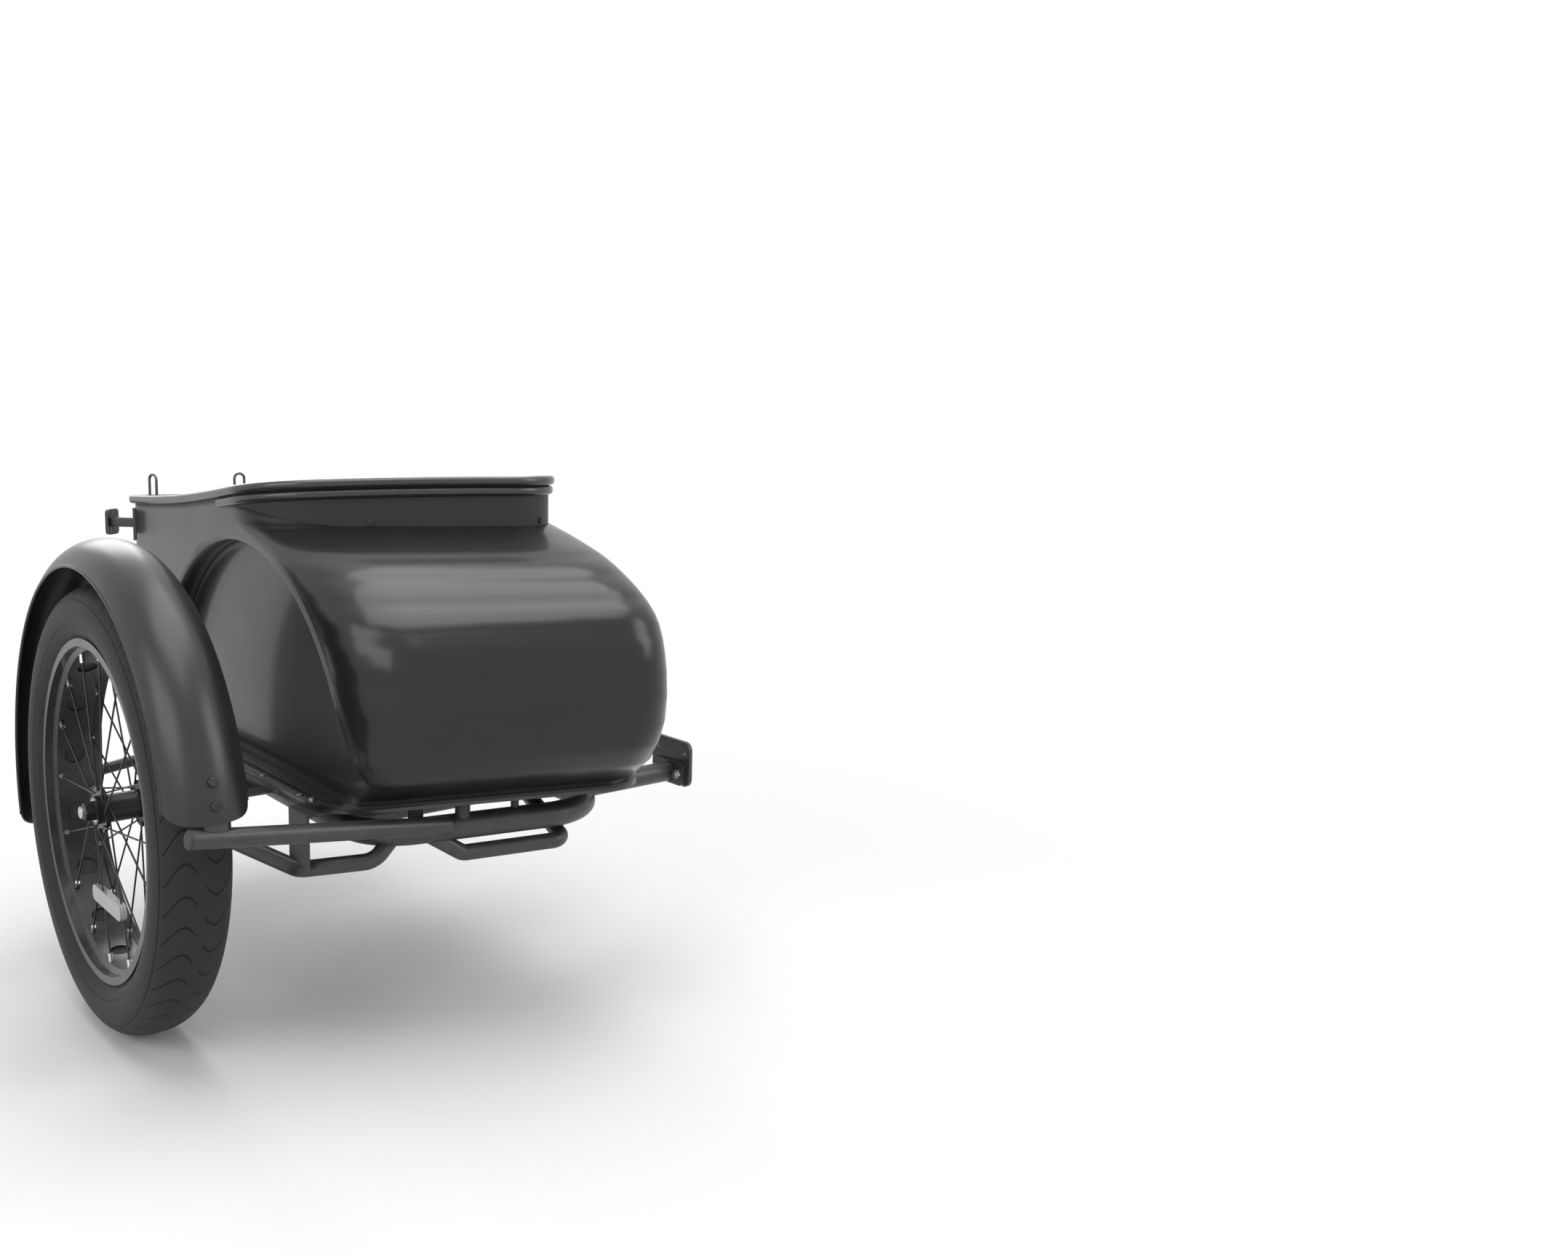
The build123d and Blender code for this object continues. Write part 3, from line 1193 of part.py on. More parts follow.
with BuildPart() as spoke_reflector:
    with BuildSketch(Plane.XZ.offset(-wheel_y + reflector_inner)):
        with Locations((reflector_middle[0], reflector_middle[1])):
            RectangleRounded(reflector_size[0], reflector_size[1], 8)
    extrude(amount=reflector_thickness)
    for start, end, side, outside in spoke_lines:
        if side < 0:
            along = (end - start).normalized()
            with BuildSketch(Plane(origin=start, z_dir=along)):
                Circle(spoke_radius + running_gap)
            extrude(amount=(end - start).length, mode=Mode.SUBTRACT)
save(spoke_reflector, "spoke_reflector")

# Rear reflector on a bracket at the tub's rear corner, facing outwards and back
with BuildPart() as reflector_bracket:
    with BuildSketch(Plane.XY.offset(bracket_low)):
        with Locations((corner_x, corner_y)):
            Circle(rear_corner + running_gap + 3.5)
            Circle(rear_corner + running_gap, mode=Mode.SUBTRACT)
        with Locations(Location(at_corner(rear_corner, 0), 45)):
            Rectangle(60, 44, mode=Mode.INTERSECT)
    extrude(amount=bracket_high - bracket_low)
    with BuildSketch(Plane(origin=at_corner(rear_corner + 2, reflector_height), x_dir=corner_across,
                           z_dir=corner_direction)):
        RectangleRounded(16, 14, 3)
    extrude(amount=bracket_reach)
    for height in bracket_bolt_heights:
        with BuildSketch(Plane(origin=at_corner(rear_corner - 6, height), z_dir=corner_direction)):
            Circle(2.5 + hole_clearance)
        extrude(amount=20, mode=Mode.SUBTRACT)
save(reflector_bracket, "reflector_bracket")

with BuildPart() as rear_reflector:
    with BuildSketch(Plane(origin=at_corner(rear_corner + 2 + bracket_reach, reflector_height),
                           x_dir=corner_across, z_dir=corner_direction)):
        RectangleRounded(30, rear_reflector_height, 6)
    extrude(amount=5.0)
    fillet(rear_reflector.faces().filter_by(Plane(origin=(0, 0, 0), z_dir=corner_direction)).sort_by(
        Axis(origin=(0, 0, 0), direction=corner_direction))[-1].edges(), radius=1.5)
save(rear_reflector, "rear_reflector")

with BuildPart() as reflector_bolts:
    for height in bracket_bolt_heights:
        with BuildSketch(Plane(origin=at_corner(rear_corner + running_gap + 3.6, height),
                               z_dir=corner_direction)):
            Circle(4.6)
        extrude(amount=2.6)
        with BuildSketch(Plane(origin=at_corner(rear_corner + running_gap + 3.6, height),
                               z_dir=corner_direction)):
            Circle(2.5)
        extrude(amount=-tub_wall - 9)
save(reflector_bolts, "reflector_bolts")
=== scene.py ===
import json
import math

import bmesh
import bpy
from mathutils import Matrix, Vector


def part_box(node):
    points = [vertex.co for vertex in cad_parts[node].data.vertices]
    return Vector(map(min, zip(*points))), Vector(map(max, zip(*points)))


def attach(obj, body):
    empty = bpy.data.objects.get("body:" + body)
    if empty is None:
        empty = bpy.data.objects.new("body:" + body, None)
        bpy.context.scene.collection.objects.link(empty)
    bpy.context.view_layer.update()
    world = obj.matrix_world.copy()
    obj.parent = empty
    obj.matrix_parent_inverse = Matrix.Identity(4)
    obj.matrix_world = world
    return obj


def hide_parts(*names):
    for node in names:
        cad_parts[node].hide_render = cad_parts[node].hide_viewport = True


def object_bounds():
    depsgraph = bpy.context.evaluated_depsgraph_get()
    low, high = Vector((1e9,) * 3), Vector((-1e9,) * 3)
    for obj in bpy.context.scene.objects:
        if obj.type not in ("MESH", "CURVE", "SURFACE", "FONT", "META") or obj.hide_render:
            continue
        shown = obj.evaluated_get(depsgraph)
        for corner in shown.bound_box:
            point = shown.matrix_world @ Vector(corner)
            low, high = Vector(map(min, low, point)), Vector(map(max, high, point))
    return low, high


bl_info = {
    "name": "Bicycle sidecar looks",
    "version": (1, 0, 0),
    "blender": (4, 5, 0),
    "location": "View3D > Sidebar > Sidecar",
    "description": "Finishes, upholstery and studio for a bicycle sidecar",
    "category": "Object",
}

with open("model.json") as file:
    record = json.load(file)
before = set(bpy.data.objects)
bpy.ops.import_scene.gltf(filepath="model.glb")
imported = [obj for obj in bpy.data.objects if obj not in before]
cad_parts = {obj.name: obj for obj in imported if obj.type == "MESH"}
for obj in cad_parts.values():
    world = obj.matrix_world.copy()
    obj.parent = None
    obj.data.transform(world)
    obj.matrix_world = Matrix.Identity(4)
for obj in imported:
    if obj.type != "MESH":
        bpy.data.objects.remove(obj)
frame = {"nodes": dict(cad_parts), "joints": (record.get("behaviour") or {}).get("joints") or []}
cad_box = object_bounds()


# Shared by several finishes: heights in metres, the rest as shares
grain_height = 0.0006
prism_height, prism_strength = 0.0012, 0.8
ply_height, ply_strength = 0.0004, 0.4
cell_steepness = 2.2
mask_low, mask_high = 0.3, 0.7
dust_colour = (0.2, 0.19, 0.18)
dust_dulling = 0.3
gloss_spread = 0.15
bevel_samples = 6

# The tyre's tread: lengths in metres, and turns as shares of the step from one cut to the next
tread_start_radius = 0.2615
plain_half_width = 0.0045
cut_half_turn = 0.045
cut_bend_rate = 95.0
cut_bend_turn = 0.55
groove_depth = 0.0025
sidewall_rings = ((0.2575, 0.0009), (0.2265, 0.0007))

# The camera fitted to the photograph: its lens in the photograph's pixels, its place in metres
photo_width, photo_height = 2156, 1725
focal_pixels = 1900.43
centre_x, centre_y = 1117.53, 808.57
sensor_width = 36.0
camera_place = (1.8345, -1.1731, 0.4435)
camera_turn, camera_rise, camera_roll = (math.radians(angle) for angle in (46.93, 7.33, 1.596))


# Shared effects: each is a node group that puts out a mask, a value or a normal


def new_group(name, inputs, outputs):
    """Makes an empty shader node group with named sockets and returns it with its two ends."""
    group = bpy.data.node_groups.new(name, "ShaderNodeTree")
    for label, kind, value in inputs:
        socket = group.interface.new_socket(name=label, in_out="INPUT", socket_type=kind)
        if value is not None:
            socket.default_value = value
    for label, kind in outputs:
        group.interface.new_socket(name=label, in_out="OUTPUT", socket_type=kind)
    start = group.nodes.new("NodeGroupInput")
    end = group.nodes.new("NodeGroupOutput")
    return group, start, end


def feed(tree, socket, value):
    """Sets a socket to a number, or links it to the socket given."""
    if isinstance(value, (int, float)):
        socket.default_value = value
    else:
        tree.links.new(value, socket)


def calculate(tree, operation, first, second=None, clamp=False):
    """Adds a Math node fed by numbers or sockets and returns its result socket."""
    node = tree.nodes.new("ShaderNodeMath")
    node.operation = operation
    node.use_clamp = clamp
    feed(tree, node.inputs[0], first)
    if second is not None:
        feed(tree, node.inputs[1], second)
    return node.outputs[0]


def noise_value(tree, vector, scale, detail=3.0, roughness=0.55):
    """Adds a noise texture in the object's own space and returns its value socket."""
    node = tree.nodes.new("ShaderNodeTexNoise")
    node.inputs["Detail"].default_value = detail
    node.inputs["Roughness"].default_value = roughness
    feed(tree, node.inputs["Scale"], scale)
    tree.links.new(vector, node.inputs["Vector"])
    return node.outputs["Fac"]


def bump(tree, height, distance, strength):
    """Adds a Bump node and returns its normal socket."""
    node = tree.nodes.new("ShaderNodeBump")
    node.inputs["Distance"].default_value = distance
    feed(tree, node.inputs["Strength"], strength)
    tree.links.new(height, node.inputs["Height"])
    return node.outputs["Normal"]


def make_grain():
    """Fine surface grain: a broad mask, a fine mask and a rippled normal."""
    group, start, end = new_group("Fine grain", [
        ("Scale", "NodeSocketFloat", 400.0),
        ("Strength", "NodeSocketFloat", 0.2),
        ("Patch scale", "NodeSocketFloat", 9.0),
    ], [("Patches", "NodeSocketFloat"), ("Fine", "NodeSocketFloat"), ("Normal", "NodeSocketVector")])
    place = group.nodes.new("ShaderNodeTexCoord").outputs["Object"]
    fine = noise_value(group, place, start.outputs["Scale"], 2.0)
    patches = noise_value(group, place, start.outputs["Patch scale"], 4.0, 0.6)
    group.links.new(patches, end.inputs["Patches"])
    group.links.new(fine, end.inputs["Fine"])
    group.links.new(bump(group, fine, grain_height, start.outputs["Strength"]), end.inputs["Normal"])
    return group


def make_pebble():
    """Pebbled cells for leather and moulded grain."""
    group, start, end = new_group("Pebble", [
        ("Scale", "NodeSocketFloat", 450.0),
        ("Strength", "NodeSocketFloat", 0.5),
    ], [("Cells", "NodeSocketFloat"), ("Normal", "NodeSocketVector")])
    place = group.nodes.new("ShaderNodeTexCoord").outputs["Object"]
    cells = group.nodes.new("ShaderNodeTexVoronoi")
    cells.feature = "DISTANCE_TO_EDGE"
    group.links.new(place, cells.inputs["Vector"])
    group.links.new(start.outputs["Scale"], cells.inputs["Scale"])
    rounded = calculate(group, "MULTIPLY", cells.outputs["Distance"], cell_steepness, clamp=True)
    group.links.new(rounded, end.inputs["Cells"])
    group.links.new(bump(group, rounded, grain_height, start.outputs["Strength"]), end.inputs["Normal"])
    return group


def make_dust():
    """Settled dust and handling marks: more low down."""
    group, start, end = new_group("Dust", [
        ("Amount", "NodeSocketFloat", 0.2),
        ("Low height", "NodeSocketFloat", -0.33),
        ("High height", "NodeSocketFloat", 0.1),
    ], [("Mask", "NodeSocketFloat")])
    place = group.nodes.new("ShaderNodeTexCoord").outputs["Object"]
    split = group.nodes.new("ShaderNodeSeparateXYZ")
    group.links.new(place, split.inputs["Vector"])
    low = group.nodes.new("ShaderNodeMapRange")
    group.links.new(split.outputs["Z"], low.inputs["Value"])
    group.links.new(start.outputs["High height"], low.inputs["From Min"])
    group.links.new(start.outputs["Low height"], low.inputs["From Max"])
    speck_scale, speck_floor, gain = 55.0, 0.42, 4.0
    specks = noise_value(group, place, speck_scale, 6.0, 0.7)
    shaped = calculate(group, "SUBTRACT", specks, speck_floor, clamp=True)
    spread = calculate(group, "MULTIPLY", shaped, low.outputs["Result"])
    scaled = calculate(group, "MULTIPLY", spread, start.outputs["Amount"])
    group.links.new(calculate(group, "MULTIPLY", scaled, gain, clamp=True), end.inputs["Mask"])
    return group


def make_tread(axle):
    """Tread of the tyre: curved cuts that stop short of the middle, and two rings on the sidewall."""
    group, start, end = new_group("Tread", [
        ("Cuts", "NodeSocketFloat", 46.0),
        ("Depth", "NodeSocketFloat", 0.9),
    ], [("Grooves", "NodeSocketFloat"), ("Normal", "NodeSocketVector")])

    def solve(operation, first, second=None):
        return calculate(group, operation, first, second)

    place = group.nodes.new("ShaderNodeTexCoord").outputs["Object"]
    split = group.nodes.new("ShaderNodeSeparateXYZ")
    group.links.new(place, split.inputs["Vector"])
    forward = solve("SUBTRACT", split.outputs["X"], axle.x)
    across = solve("SUBTRACT", split.outputs["Y"], axle.y)
    up = solve("SUBTRACT", split.outputs["Z"], axle.z)
    radius = solve("SQRT", solve("ADD", solve("MULTIPLY", forward, forward), solve("MULTIPLY", up, up)))
    angle = solve("ARCTAN2", up, forward)
    turns = solve("MULTIPLY", solve("DIVIDE", angle, 2 * math.pi), start.outputs["Cuts"])
    bend = solve("MULTIPLY", solve("SINE", solve("MULTIPLY", across, cut_bend_rate)), cut_bend_turn)
    above_zero = 100.0
    phase = solve("FRACT", solve("ADD", solve("ADD", turns, bend), above_zero))
    from_cut = solve("ABSOLUTE", solve("SUBTRACT", phase, 0.5))
    cut = solve("LESS_THAN", from_cut, cut_half_turn)
    in_tread = solve("GREATER_THAN", radius, tread_start_radius)
    off_middle = solve("GREATER_THAN", solve("ABSOLUTE", across), plain_half_width)
    grooves = solve("MULTIPLY", solve("MULTIPLY", cut, in_tread), off_middle)
    for ring_radius, half_width in sidewall_rings:
        from_ring = solve("ABSOLUTE", solve("SUBTRACT", radius, ring_radius))
        grooves = solve("MAXIMUM", grooves, solve("LESS_THAN", from_ring, half_width))
    height = solve("SUBTRACT", 1.0, grooves)
    group.links.new(grooves, end.inputs["Grooves"])
    group.links.new(bump(group, height, groove_depth, start.outputs["Depth"]), end.inputs["Normal"])
    return group


def make_facets():
    """Moulded prisms of a reflector."""
    group, start, end = new_group("Reflector prisms", [
        ("Scale", "NodeSocketFloat", 330.0),
    ], [("Cells", "NodeSocketFloat"), ("Normal", "NodeSocketVector")])
    place = group.nodes.new("ShaderNodeTexCoord").outputs["Object"]
    cells = group.nodes.new("ShaderNodeTexVoronoi")
    cells.feature = "F1"
    cells.distance = "MANHATTAN"
    cells.inputs["Randomness"].default_value = 0.0
    group.links.new(place, cells.inputs["Vector"])
    group.links.new(start.outputs["Scale"], cells.inputs["Scale"])
    group.links.new(cells.outputs["Distance"], end.inputs["Cells"])
    facets = bump(group, cells.outputs["Distance"], prism_height, prism_strength)
    group.links.new(facets, end.inputs["Normal"])
    return group


def make_plies():
    """Long wood grain for the plywood boards."""
    group, start, end = new_group("Wood grain", [
        ("Scale", "NodeSocketFloat", 24.0),
    ], [("Grain", "NodeSocketFloat"), ("Normal", "NodeSocketVector")])
    place = group.nodes.new("ShaderNodeTexCoord").outputs["Object"]
    stretch = group.nodes.new("ShaderNodeMapping")
    stretch.inputs["Scale"].default_value = (0.25, 6.0, 6.0)
    group.links.new(place, stretch.inputs["Vector"])
    grain = noise_value(group, stretch.outputs["Vector"], start.outputs["Scale"], 5.0, 0.6)
    group.links.new(grain, end.inputs["Grain"])
    group.links.new(bump(group, grain, ply_height, ply_strength), end.inputs["Normal"])
    return group


# Filled by main before any material is made
effects = {}


def place_effect(tree, name, **values):
    """Places a shared effect in a material with its own values."""
    node = tree.nodes.new("ShaderNodeGroup")
    node.node_tree = effects[name]
    for label, value in values.items():
        node.inputs[label.replace("_", " ").capitalize()].default_value = value
    return node


def grey(level):
    """A neutral colour."""
    return (level, level, level)


def lighter(colour, factor):
    """A colour with each channel multiplied."""
    return tuple(channel * factor for channel in colour)


def start_material(name):
    """Makes a material and returns it with its Principled shader."""
    material = bpy.data.materials.new(name)
    material.use_nodes = True
    return material, material.node_tree, material.node_tree.nodes["Principled BSDF"]


def blend_colours(tree, mask, first, second):
    """Adds a colour mix steered by a mask, between colours or sockets, and returns its colour socket."""
    mix = tree.nodes.new("ShaderNodeMix")
    mix.data_type = "RGBA"
    tree.links.new(mask, next(socket for socket in mix.inputs if socket.identifier == "Factor_Float"))
    for identifier, colour in (("A_Color", first), ("B_Color", second)):
        socket = next(socket for socket in mix.inputs if socket.identifier == identifier)
        if isinstance(colour, tuple):
            socket.default_value = (*colour, 1.0)
        else:
            tree.links.new(colour, socket)
    return next(socket for socket in mix.outputs if socket.identifier == "Result_Color")


def spread_value(tree, mask, low, high):
    """Maps a mask that lies around a half onto a range and returns the value socket."""
    node = tree.nodes.new("ShaderNodeMapRange")
    node.inputs["From Min"].default_value = mask_low
    node.inputs["From Max"].default_value = mask_high
    node.inputs["To Min"].default_value = low
    node.inputs["To Max"].default_value = high
    tree.links.new(mask, node.inputs["Value"])
    return node.outputs["Result"]


def paint_material(name, colour, worn_colour, roughness, grain_scale, grain_strength, patch_scale=9.0,
                   metallic=0.0, coat=0.0, coat_roughness=0.05, specular=0.5, dust=0.15, crease_radius=0.0):
    """A painted, moulded or rubber finish: wandering colour and gloss, fine grain and a little dust."""
    material, tree, shader = start_material(name)
    grain = place_effect(tree, "grain", scale=grain_scale, strength=grain_strength, patch_scale=patch_scale)
    colours = blend_colours(tree, grain.outputs["Patches"], colour, worn_colour)
    settled = place_effect(tree, "dust", amount=dust)
    tree.links.new(blend_colours(tree, settled.outputs["Mask"], colours, dust_colour),
                   shader.inputs["Base Color"])
    rough = spread_value(tree, grain.outputs["Patches"], roughness * (1 - gloss_spread),
                         roughness * (1 + gloss_spread))
    dulling = calculate(tree, "MULTIPLY", settled.outputs["Mask"], dust_dulling)
    tree.links.new(calculate(tree, "ADD", rough, dulling, clamp=True), shader.inputs["Roughness"])
    if crease_radius:
        softened = tree.nodes.new("ShaderNodeBevel")
        softened.samples = bevel_samples
        softened.inputs["Radius"].default_value = crease_radius
        tree.links.new(grain.outputs["Normal"], softened.inputs["Normal"])
        tree.links.new(softened.outputs["Normal"], shader.inputs["Normal"])
        tree.links.new(softened.outputs["Normal"], shader.inputs["Coat Normal"])
    else:
        tree.links.new(grain.outputs["Normal"], shader.inputs["Normal"])
    shader.inputs["Metallic"].default_value = metallic
    shader.inputs["Coat Weight"].default_value = coat
    shader.inputs["Coat Roughness"].default_value = coat_roughness
    shader.inputs["Specular IOR Level"].default_value = specular
    return material


def leather_material(settings):
    """Pebbled black upholstery with a soft sheen."""
    material, tree, shader = start_material("Upholstery leather")
    pebble = place_effect(tree, "pebble", scale=520.0, strength=0.35)
    grain = place_effect(tree, "grain", scale=160.0, strength=0.1, patch_scale=14.0)
    colour = tuple(settings.upholstery_colour)
    colours = blend_colours(tree, grain.outputs["Patches"], colour, lighter(colour, 1.6))
    tree.links.new(colours, shader.inputs["Base Color"])
    tree.links.new(spread_value(tree, pebble.outputs["Cells"], 0.62, 0.42), shader.inputs["Roughness"])
    tree.links.new(pebble.outputs["Normal"], shader.inputs["Normal"])
    shader.inputs["Sheen Weight"].default_value = 0.15
    return material


def tyre_material(settings):
    """Tyre rubber with curved cuts across the tread; the cuts and sidewall rings are painted darker, as
    painted shade.
    """
    material, tree, shader = start_material("Tyre rubber")
    tread = place_effect(tree, "tread", cuts=settings.tread_cuts, depth=1.0)
    grain = place_effect(tree, "grain", scale=600.0, strength=0.12, patch_scale=12.0)
    colours = blend_colours(tree, grain.outputs["Patches"], grey(0.020), (0.031, 0.030, 0.029))
    # The cuts and sidewall rings are painted darker than the rubber: painted shade in the grooves.
    tree.links.new(blend_colours(tree, tread.outputs["Grooves"], colours, grey(0.006)),
                   shader.inputs["Base Color"])
    tree.links.new(spread_value(tree, grain.outputs["Fine"], 0.5, 0.68), shader.inputs["Roughness"])
    tree.links.new(tread.outputs["Normal"], shader.inputs["Normal"])
    shader.inputs["Specular IOR Level"].default_value = 0.2
    return material


def lens_material(name, colour, prism_shade_colour, transmission):
    """Moulded reflector plastic with prisms, each painted darker away from its middle as painted shade."""
    material, tree, shader = start_material(name)
    prisms = place_effect(tree, "facets", scale=330.0)
    # Each prism is painted darker away from its middle: painted shade on the prism facets.
    tree.links.new(blend_colours(tree, prisms.outputs["Cells"], colour, prism_shade_colour),
                   shader.inputs["Base Color"])
    tree.links.new(prisms.outputs["Normal"], shader.inputs["Normal"])
    shader.inputs["Roughness"].default_value = 0.12
    shader.inputs["Transmission Weight"].default_value = transmission
    shader.inputs["Coat Weight"].default_value = 0.6
    shader.inputs["Coat Roughness"].default_value = 0.04
    return material


def housed_lens_material(facing):
    """Red prisms on the face that looks one way, painted darker away from each prism's middle as painted
    shade, and black housing on the other faces.
    """
    material, tree, shader = start_material("Red reflector in its housing")
    prisms = place_effect(tree, "facets", scale=330.0)
    outward = tree.nodes.new("ShaderNodeVectorMath")
    outward.operation = "DOT_PRODUCT"
    outward.inputs[1].default_value = facing
    tree.links.new(tree.nodes.new("ShaderNodeTexCoord").outputs["Normal"], outward.inputs[0])
    lens = calculate(tree, "GREATER_THAN", outward.outputs["Value"], 0.8)
    # The red is painted darker away from each prism's middle: painted shade on the prism facets.
    red_with_prism_shade = blend_colours(tree, prisms.outputs["Cells"], (0.42, 0.012, 0.01), (0.25, 0.004, 0.004))
    tree.links.new(blend_colours(tree, lens, grey(0.018), red_with_prism_shade), shader.inputs["Base Color"])
    tree.links.new(spread_value(tree, prisms.outputs["Cells"], 0.15, 0.3), shader.inputs["Roughness"])
    tree.links.new(prisms.outputs["Normal"], shader.inputs["Normal"])
    return material


def steel_material(name, colour, worn_colour, roughness):
    """Metal hardware, bright, plated or blackened."""
    material, tree, shader = start_material(name)
    grain = place_effect(tree, "grain", scale=900.0, strength=0.15, patch_scale=120.0)
    tree.links.new(blend_colours(tree, grain.outputs["Patches"], colour, worn_colour),
                   shader.inputs["Base Color"])
    tree.links.new(spread_value(tree, grain.outputs["Fine"], roughness * 0.75, roughness * 1.25),
                   shader.inputs["Roughness"])
    tree.links.new(grain.outputs["Normal"], shader.inputs["Normal"])
    shader.inputs["Metallic"].default_value = 1.0
    return material


def plywood_material():
    """Plain plywood of the seat boards."""
    material, tree, shader = start_material("Seat plywood")
    plies = place_effect(tree, "plies", scale=26.0)
    tree.links.new(blend_colours(tree, plies.outputs["Grain"], (0.32, 0.22, 0.13), (0.46, 0.34, 0.21)),
                   shader.inputs["Base Color"])
    tree.links.new(plies.outputs["Normal"], shader.inputs["Normal"])
    tree.links.new(spread_value(tree, plies.outputs["Grain"], 0.55, 0.7), shader.inputs["Roughness"])
    return material


def dress(names, material):
    """Gives each named CAD node's object the material in place of its plain one."""
    for name in names:
        mesh = frame["nodes"][name].data
        if not mesh.materials:
            mesh.materials.append(material)
        for index in range(len(mesh.materials)):
            mesh.materials[index] = material


def smooth_mesh(name, points, faces, material):
    """Makes a smooth-shaded mesh object from points and faces."""
    mesh = bpy.data.meshes.new(name)
    mesh.from_pydata(points, [], faces)
    mesh.materials.append(material)
    mesh.shade_smooth()
    piece = bpy.data.objects.new(name, mesh)
    bpy.context.scene.collection.objects.link(piece)
    return piece


class SidecarSettings(bpy.types.PropertyGroup):
    """Sizes and colours of the sidecar's finishes"""
    tub_colour: bpy.props.FloatVectorProperty(
        name="Tub colour", description="Colour of the glossy tub", subtype="COLOR", size=3, min=0, max=1,
        default=(0.010, 0.010, 0.011))
    chassis_colour: bpy.props.FloatVectorProperty(
        name="Chassis colour", description="Colour of the satin chassis paint", subtype="COLOR", size=3,
        min=0, max=1, default=(0.022, 0.022, 0.021))
    upholstery_colour: bpy.props.FloatVectorProperty(
        name="Upholstery colour", description="Colour of the seat cover", subtype="COLOR", size=3,
        min=0, max=1, default=(0.026, 0.024, 0.023))
    tread_cuts: bpy.props.FloatProperty(
        name="Tread cuts", description="Number of curved cuts round the tyre", default=46.0, min=8, max=120)
    channel_depth: bpy.props.FloatProperty(
        name="Channel depth", description="Depth of the cushions' sewn channels", default=0.0075,
        min=0.0, max=0.02, unit="LENGTH")
    piping_radius: bpy.props.FloatProperty(
        name="Piping radius", description="Radius of the piping round the cushions", default=0.0028,
        min=0.001, max=0.01, unit="LENGTH")
    lamp_level: bpy.props.FloatProperty(
        name="Lamp level", description="Strength of the studio lamps", default=1.0, min=0.0, max=10.0)


class SIDECAR_OT_finish_tub(bpy.types.Operator):
    """Gives the tub, its coaming, beads, deck and floor their moulded finishes"""
    bl_idname = "sidecar.finish_tub"
    bl_label = "Finish tub"

    def execute(self, context):
        settings = context.scene.sidecar
        colour = tuple(settings.tub_colour)
        dress(["tub_shell"], paint_material(
            "Gloss black shell", colour, lighter(colour, 1.5), 0.34, 140.0, 0.015,
            patch_scale=5.0, coat=0.4, coat_roughness=0.1, specular=0.2, dust=0.05, crease_radius=0.016))
        dress(["rear_deck"], paint_material(
            "Gloss black deck", grey(0.012), grey(0.02), 0.3, 140.0, 0.02,
            coat=0.5, coat_roughness=0.18, specular=0.4, dust=0.05))
        dress(["floor_pan", "seat_box"], paint_material(
            "Moulded black", grey(0.016), grey(0.026), 0.32, 220.0, 0.08, coat=0.3))
        dress(["cockpit_coaming"], paint_material(
            "Satin coaming band", (0.03, 0.03, 0.031), (0.042, 0.042, 0.043), 0.5, 500.0, 0.12,
            specular=0.25, dust=0.05))
        dress(["coaming_bead", "rim_bead"], paint_material(
            "Bead rubber", grey(0.018), grey(0.03), 0.3, 420.0, 0.06,
            coat=0.25, coat_roughness=0.18, dust=0.05))
        dress(["floor_mat"], paint_material(
            "Ribbed mat rubber", grey(0.024), (0.04, 0.04, 0.039), 0.75, 700.0, 0.3, dust=0.5))
        dress(["seat_board", "back_board"], plywood_material())
        return {"FINISHED"}


class SIDECAR_OT_finish_chassis(bpy.types.Operator):
    """Gives the tubes, mounts, fender and hardware their paint and metal"""
    bl_idname = "sidecar.finish_chassis"
    bl_label = "Finish chassis"

    def execute(self, context):
        settings = context.scene.sidecar
        colour = tuple(settings.chassis_colour)
        dress(["frame_rail", "rear_cross_tube", "axle_cross_tube", "front_cross_tube", "axle_beam",
               "axle_carrier", "bumper_tube", "outer_brace", "inner_brace", "brace_hanger", "rear_stay",
               "fender_front_tab", "rear_mount_arm", "rear_mount_plate", "front_mount_arm",
               "front_mount_plate", "reflector_bracket"], paint_material(
            "Satin chassis paint", colour, lighter(colour, 1.7), 0.42, 520.0, 0.1,
            coat=0.15, coat_roughness=0.3, dust=0.25))
        dress(["fender"], paint_material(
            "Fender paint", (0.013, 0.013, 0.0128), (0.021, 0.021, 0.0205), 0.36, 300.0, 0.04,
            coat=0.22, coat_roughness=0.25, specular=0.35, dust=0.1))
        dress(["tub_posts", "bumper_plug"], paint_material(
            "Mount rubber", grey(0.02), (0.035, 0.034, 0.033), 0.62, 700.0, 0.25, dust=0.3))
        dress(["post_bolts", "mount_plate_bolts", "reflector_bolts", "stub_axle", "axle_spacer",
               "flange_rivets"], steel_material(
            "Zinc hardware", (0.42, 0.42, 0.41), (0.56, 0.56, 0.55), 0.34))
        dress(["tie_down_loops"], steel_material(
            "Loop wire", grey(0.08), (0.16, 0.16, 0.155), 0.3))
        dress(["coaming_screws", "fender_bolts", "axle_nut", "axle_washer"], steel_material(
            "Blackened screws", grey(0.03), grey(0.07), 0.4))
        backwards_and_outwards = Vector((-0.7071, -0.7071, 0))
        dress(["rear_reflector"], housed_lens_material(backwards_and_outwards))
        return {"FINISHED"}


